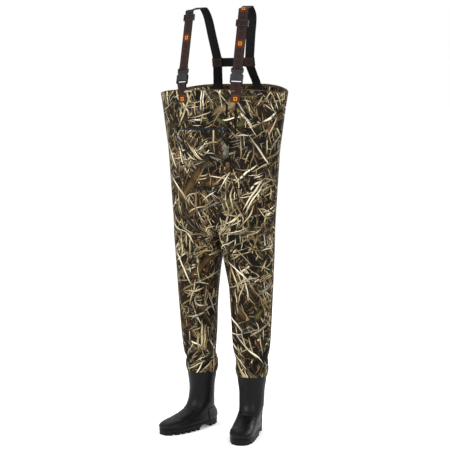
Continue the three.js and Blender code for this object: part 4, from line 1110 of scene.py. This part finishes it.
def add_suspender(name, side):
    z = RIM_Z
    y = -torso_depth(z) * sqrt(1 - (STRAP_X / torso_width(z)) ** 2)
    stand = GAP + WEBBING / 2 + 1.1
    yaw = side * radians(STRAP_YAW)
    hung = (Matrix.Translation(world(side * STRAP_X, y, z))
            @ rotation(0, side * radians(STRAP_ROLL), yaw, "ZYX"))
    tilted = hung @ Matrix.Translation(Vector((0, -stand, BUCKLE_RISE)) * MM)
    tilted = tilted @ Matrix.Rotation(-radians(STRAP_TILT), 4, "X")
    tongue = tilted @ Matrix.Translation(Vector((0, 0, SOCKET_LENGTH + GAP)) * MM)
    bar_at = TONGUE_LENGTH - BAR / 2
    r = BAR / sqrt(2) + GAP + WEBBING / 2

    # tab
    line = [Vector((-stand, -TAB_LENGTH)), Vector((-stand, -30)), Vector((-stand, -8)), Vector((-stand, 2))]
    for i in range(9):
        a = pi * (1 - i / 8) - radians(STRAP_TILT)
        line.append(Vector((r * cos(a) - stand, r * sin(a) + BUCKLE_RISE)))
    line.append(Vector((-stand + WEBBING + GAP, 6)))
    ribbon(f"{name}_tab_webbing", side_view(rounded_line(line, 2.0), hung), "brown",
           replaces=(f"{name}_front_tab",), mark=(LABEL["up"] + LABEL["size"] / 2) * MM)
    label_out = -(WEBBING + LABEL["thick"]) / 2 - GAP
    at = Vector((0, -stand + label_out, LABEL["up"] - TAB_LENGTH + LABEL["size"] / 2)) * MM
    label(f"{name}_tab_mark", f"{name}_tab_label", hung @ Matrix.Translation(at))

    # front strap: down the front, round the tongue's bar, and its return up to the adjuster
    near = WEBBING / 2 + GAP / 2
    adjuster = ADJUSTER_AT[name]
    frame_up = tongue @ Matrix.Translation(Vector((0, 0, bar_at)) * MM)
    loop = [Vector((-near, FRONT_STRAP)), Vector((-near, 3.2 * r))]
    for i in range(9):
        a = pi * (1 - i / 8)
        loop.append(Vector((r * cos(a), -r * sin(a))))
    turn = 60
    loop += [Vector((near, 3.2 * r)), Vector((near, turn))]
    body = ribbon(f"{name}_front_webbing", side_view(rounded_line(loop, 2.5), frame_up), "brown", body=None,
                  replaces=(f"{name}_front_strap",),
                  mark=(FRONT_STRAP - adjuster + LABEL["down"]) * MM)
    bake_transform(body)
    back = ribbon(f"{name}_return_webbing",
                  side_view(rounded_line([Vector((near, turn + 0.5)), Vector((near, adjuster + 8))], 2.5), frame_up),
                  "brown", body=None, replaces=(f"{name}_front_strap",), start=0.4)
    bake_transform(back)
    at = Vector((0, -near + label_out, adjuster - LABEL["down"])) * MM
    label(f"{name}_strap_mark", f"{name}_strap_label", frame_up @ Matrix.Translation(at))

    # over the shoulder and down the back
    end = frame_up @ (Vector((0, -near, FRONT_STRAP + GAP)) * MM) / MM - SHIFT
    before_end = frame_up @ (Vector((0, -near, FRONT_STRAP - 20)) * MM) / MM - SHIFT
    top = Vector((side * SHOULDER[0], SHOULDER[1], RIM_Z + SHOULDER_HEIGHT))
    junction = Vector((side * JUNCTION["x"], JUNCTION["y"], top.z - JUNCTION["drop"]))
    lead = end + (end - before_end).normalized() * 12
    aim = junction + Vector((0, 0, PATCH["height"] / 4))
    behind = top + Vector((-side * 3, 16, -2))
    over = Vector((lerp(top.x, aim.x, 0.16), lerp(top.y, aim.y, 0.56), top.z - 32))
    rising = top + Vector((side * 7, -30, -8))
    route = Route([end, lead, rising, top, behind, over, aim.lerp(over, 0.5), aim])
    yaw_back = -side * radians(JUNCTION["yaw"])
    seam = SHOULDER_STRAP / route.length
    mark = None
    if side > 0:
        share = next(k / 400 for k in range(400) if route.at(k / 400)[0].z > top.z - 17)
        mark = share * route.length * MM
        p, wide, normal = stations_on(route, (yaw, yaw_back), share, share, 1)[0]
        at = Matrix((wide, -normal, normal.cross(wide))).transposed().to_4x4()
        at.translation = p + normal * (-label_out * MM)
        label("shoulder_mark", None, at)
    ribbon(f"{name}_shoulder_webbing", stations_on(route, (yaw, yaw_back), 0, seam, 30), "brown",
           replaces=(f"{name}_shoulder_strap",), mark=mark)
    ribbon(f"{name}_back_webbing", stations_on(route, (yaw, yaw_back), seam + GAP / route.length, 1, 70), "black",
           replaces=(f"{name}_back_strap",))
    inset = FABRIC + 0.8 + 4 * GAP + WEBBING
    rim = RIM_Z + RIM_RISE
    seat = torso_depth(RIM_Z) * sqrt(1 - (ANCHOR_X / torso_width(RIM_Z)) ** 2) - inset
    foot = Vector((side * ANCHOR_X, seat - 3, rim - ANCHOR_DEPTH))
    lip = Vector((side * (ANCHOR_X - 6), seat - 2.5, rim + 4))
    start = junction - Vector((0, 0, PATCH["height"] / 4))
    lower = Route([start, start.lerp(lip, 0.5), lip, foot])
    yaw_foot = -side * radians(11)
    ribbon(f"{name}_lower_webbing", stations_on(lower, (yaw_back, yaw_foot), 0, 1, 40), "black",
           replaces=(f"{name}_lower_back_strap",))
    above, below = route.at(1 - PATCH["height"] / 2 / route.length)[0], lower.at(PATCH["height"] / 2 / lower.length)[0]
    lean = atan2(below.y - above.y, above.z - below.z)
    for where, way in (("inner", -1), ("outer", 1)):
        at = Matrix.Translation(world(*junction)) @ rotation(lean, 0, yaw_back, "ZXY")
        at = at @ Matrix.Translation(Vector((0, way * (WEBBING / 2 + GAP + 3 + PATCH["thick"] / 2), 0)) * MM)
        if way > 0:
            at = at @ Matrix.Rotation(pi, 4, "Z")
        plate(f"{name}_{where}_patch_cover", f"{name}_junction_{where}_patch", at, PATCH["width"], PATCH["height"],
              PATCH["thick"], "brown", radius=3)
    return junction, lean


def add_suspenders():
    for name, side in SIDES:
        junction, lean = add_suspender(name, side)
        refined(f"{name}_buckle_socket", "plastic", ROOT, 0.0011)
        refined(f"{name}_buckle_tongue", "plastic", f"{name}_buckle_tongue", 0.0008)
        for place in ("inner", "outer"):
            node = f"{name}_buckle_{place}_prong"
            refined(node, "plastic", node, 0.0005)
        refined(f"{name}_strap_adjuster", "plastic", f"{name}_strap_adjuster", 0.0009)
    length = 2 * JUNCTION["x"] - WEBBING_W - 4
    line = []
    for k in range(21):
        x = lerp(-length / 2, length / 2, k / 20)
        turn = Matrix.Rotation(lean, 3, "X")
        line.append((world(x, junction.y, junction.z), turn @ Vector((0, 0, 1)), turn @ Vector((0, -1, 0))))
    ribbon("cross_webbing", line, "black", width=WEBBING_W - 4, replaces=("cross_strap",))


# ---------------------------------------------------------------- pocket
def add_pocket():
    """A sewn pouch, fullest below its middle and closed flat along its sides, under the zip."""
    width, height, depth = POCKET["width"] / 2, POCKET["height"], POCKET["depth"]
    z = RIM_Z - POCKET["below"]
    reach = lambda x: torso_depth(z) * sqrt(1 - (x / torso_width(z)) ** 2)
    ends = [POCKET["x"] - width, POCKET["x"] + width]
    near, far = (-reach(x) for x in ends)
    turn = atan2(far - near, 2 * width)
    zip_lo, zip_hi = (Vector(v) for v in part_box("pocket_zip_tape"))
    place = Matrix.Rotation(turn, 4, "Z")
    # the zip's tape stands in the plane of the pouch's front, so the tape's box says where that is
    corner = place @ Vector((0, -depth + 0.9, 0)) * MM
    middle = (zip_lo + zip_hi) / 2
    place = Matrix.Translation((middle.x - corner.x, middle.y - corner.y, zip_lo.z - GAP * MM)) @ place
    flange, rows, columns = 2.0, 44, 72

    def front(u, v):
        """How far the front stands out: u from -1 to 1 across, v from 0 at the zip to 1 at the foot."""
        power = lerp(12, 3.2, smooth(v, 0.0, 0.6))
        across = (1 - abs(u) ** power) ** (1 / power)
        foot = (1 - clamp((v - 0.80) / 0.20) ** 2.4) ** 0.5
        full = lerp(depth - 1.0, depth + 1.6, smooth(v, 0.05, 0.55))
        sway = noise.noise(Vector((u * 2.3 + 4.0, v * 2.6, 1.7))) * 2.6
        sway += noise.noise(Vector((u * 6.0, v * 5.0, 9.0))) * 1.1
        tucks = 0.9 * sin(u * 9.0 + v * 5.0) * smooth(v, 0.3, 0.9)
        return 1.5 + max(0.0, (full - 1.5 + (sway + tucks) * smooth(v, 0.03, 0.3)) * across * foot)

    pts, cloth = [], []

    def put(x, y, down):
        pts.append(place @ (Vector((x, y, -down)) * MM))
        cloth.append((x * MM + 0.38 - y * MM, -down * MM + 0.02, 0))

    for r in range(rows + 1):
        v = r / rows
        for c in range(columns + 1):
            u = -1 + 2 * c / columns
            u = copysign(1 - (1 - abs(u)) ** 1.5, u)
            round_foot = 7 * smooth(abs(u), 0.86, 1.0) * smooth(v, 0.7, 1.0)
            put(u * (width - flange), -front(u, v), v * height - round_foot)
        for edge in (width, width * 0.97, 0, -width * 0.97, -width):
            round_foot = 7 * smooth(abs(edge) / width, 0.86, 1.0) * smooth(v, 0.7, 1.0)
            put(edge, -1.3 if abs(edge) == width else -0.7, v * height - round_foot)
    around = columns + 6
    faces = grid_faces(rows + 1, around, True)
    last = rows * around
    faces.append(tuple(range(last, last + around)))
    pouch = piece("pocket_cloth", pts, faces, "camo", replaces=("pocket_pouch",), cloth=cloth)
    outward(pouch)
    modify(pouch, "SOLIDIFY", thickness=0.0010, offset=-1.0)
    apply_all(pouch)
    refined("pocket_zip_tape", "zip", ROOT, 0.0003)
    refined("pocket_zip_slider", "metal", "pocket_zip_slider", 0.0003)
    refined("pocket_zip_pull", "zip", "pocket_zip_pull", 0.0003)


# ---------------------------------------------------------------- build
SHAPE, INDEX = add_garment()
add_rim(SHAPE, INDEX)
add_tapes(SHAPE, INDEX)
for NAME, SIDE in SIDES:
    add_boot(NAME, SIDE)
    refined(f"{NAME}_boot_insole", "insole", ROOT, 0.001)
add_suspenders()
add_pocket()


# ---------------------------------------------------------------- stage
def stage():
    mesh = bpy.data.meshes.new("floor")
    s = 400
    mesh.from_pydata([(-s, -s, 0), (s, -s, 0), (s, s, 0), (-s, s, 0)], [], [(0, 1, 2, 3)])
    floor = bpy.data.objects.new("floor", mesh)
    bpy.context.scene.collection.objects.link(floor)
    p = Paint("floor_paint")
    shade = p.noise(p.place(), 3.0, detail=3)
    colour = p.mix(shade, (0.90, 0.90, 0.90), (0.92, 0.92, 0.92))
    mesh.materials.append(p.finish(colour, 0.9, Emission_Color=(1, 1, 1), Emission_Strength=0.14,
                                   Specular_IOR_Level=0.0))
    world_ = bpy.data.worlds.new("studio")
    world_.use_nodes = True
    world_.node_tree.nodes["Background"].inputs[0].default_value = (1, 1, 1, 1)
    world_.node_tree.nodes["Background"].inputs[1].default_value = 1.0
    bpy.context.scene.view_settings.view_transform = "Standard"
    bpy.context.scene.world = world_
    for name, at, size, power in (("key", (-1.6, -3.4, 3.0), 2.2, 110), ("fill", (3.2, -2.6, 2.2), 2.6, 60),
                                  ("back", (0.6, 3.2, 3.0), 2.0, 60)):
        light = bpy.data.lights.new(name, "AREA")
        light.shape, light.size, light.energy = "DISK", size, power
        obj = bpy.data.objects.new(name, light)
        obj.location = at
        obj.rotation_euler = (Vector((0, 0, 0.85)) - Vector(at)).to_track_quat("-Z", "Y").to_euler()
        bpy.context.scene.collection.objects.link(obj)
    lens = bpy.data.cameras.new("camera")
    lens.sensor_width = 36
    lens.lens = 1228.3 / 450 * 36
    lens.clip_end = 900
    camera = bpy.data.objects.new("camera", lens)
    turn, far, aside = radians(25.74), 4.9, 0.016
    camera.location = (far * sin(turn) + aside * cos(turn), -far * cos(turn) + aside * sin(turn),
                       1.329)
    camera.rotation_euler = (radians(90 - 5.65), 0, turn)
    bpy.context.scene.collection.objects.link(camera)
    bpy.context.scene.camera = camera


stage()
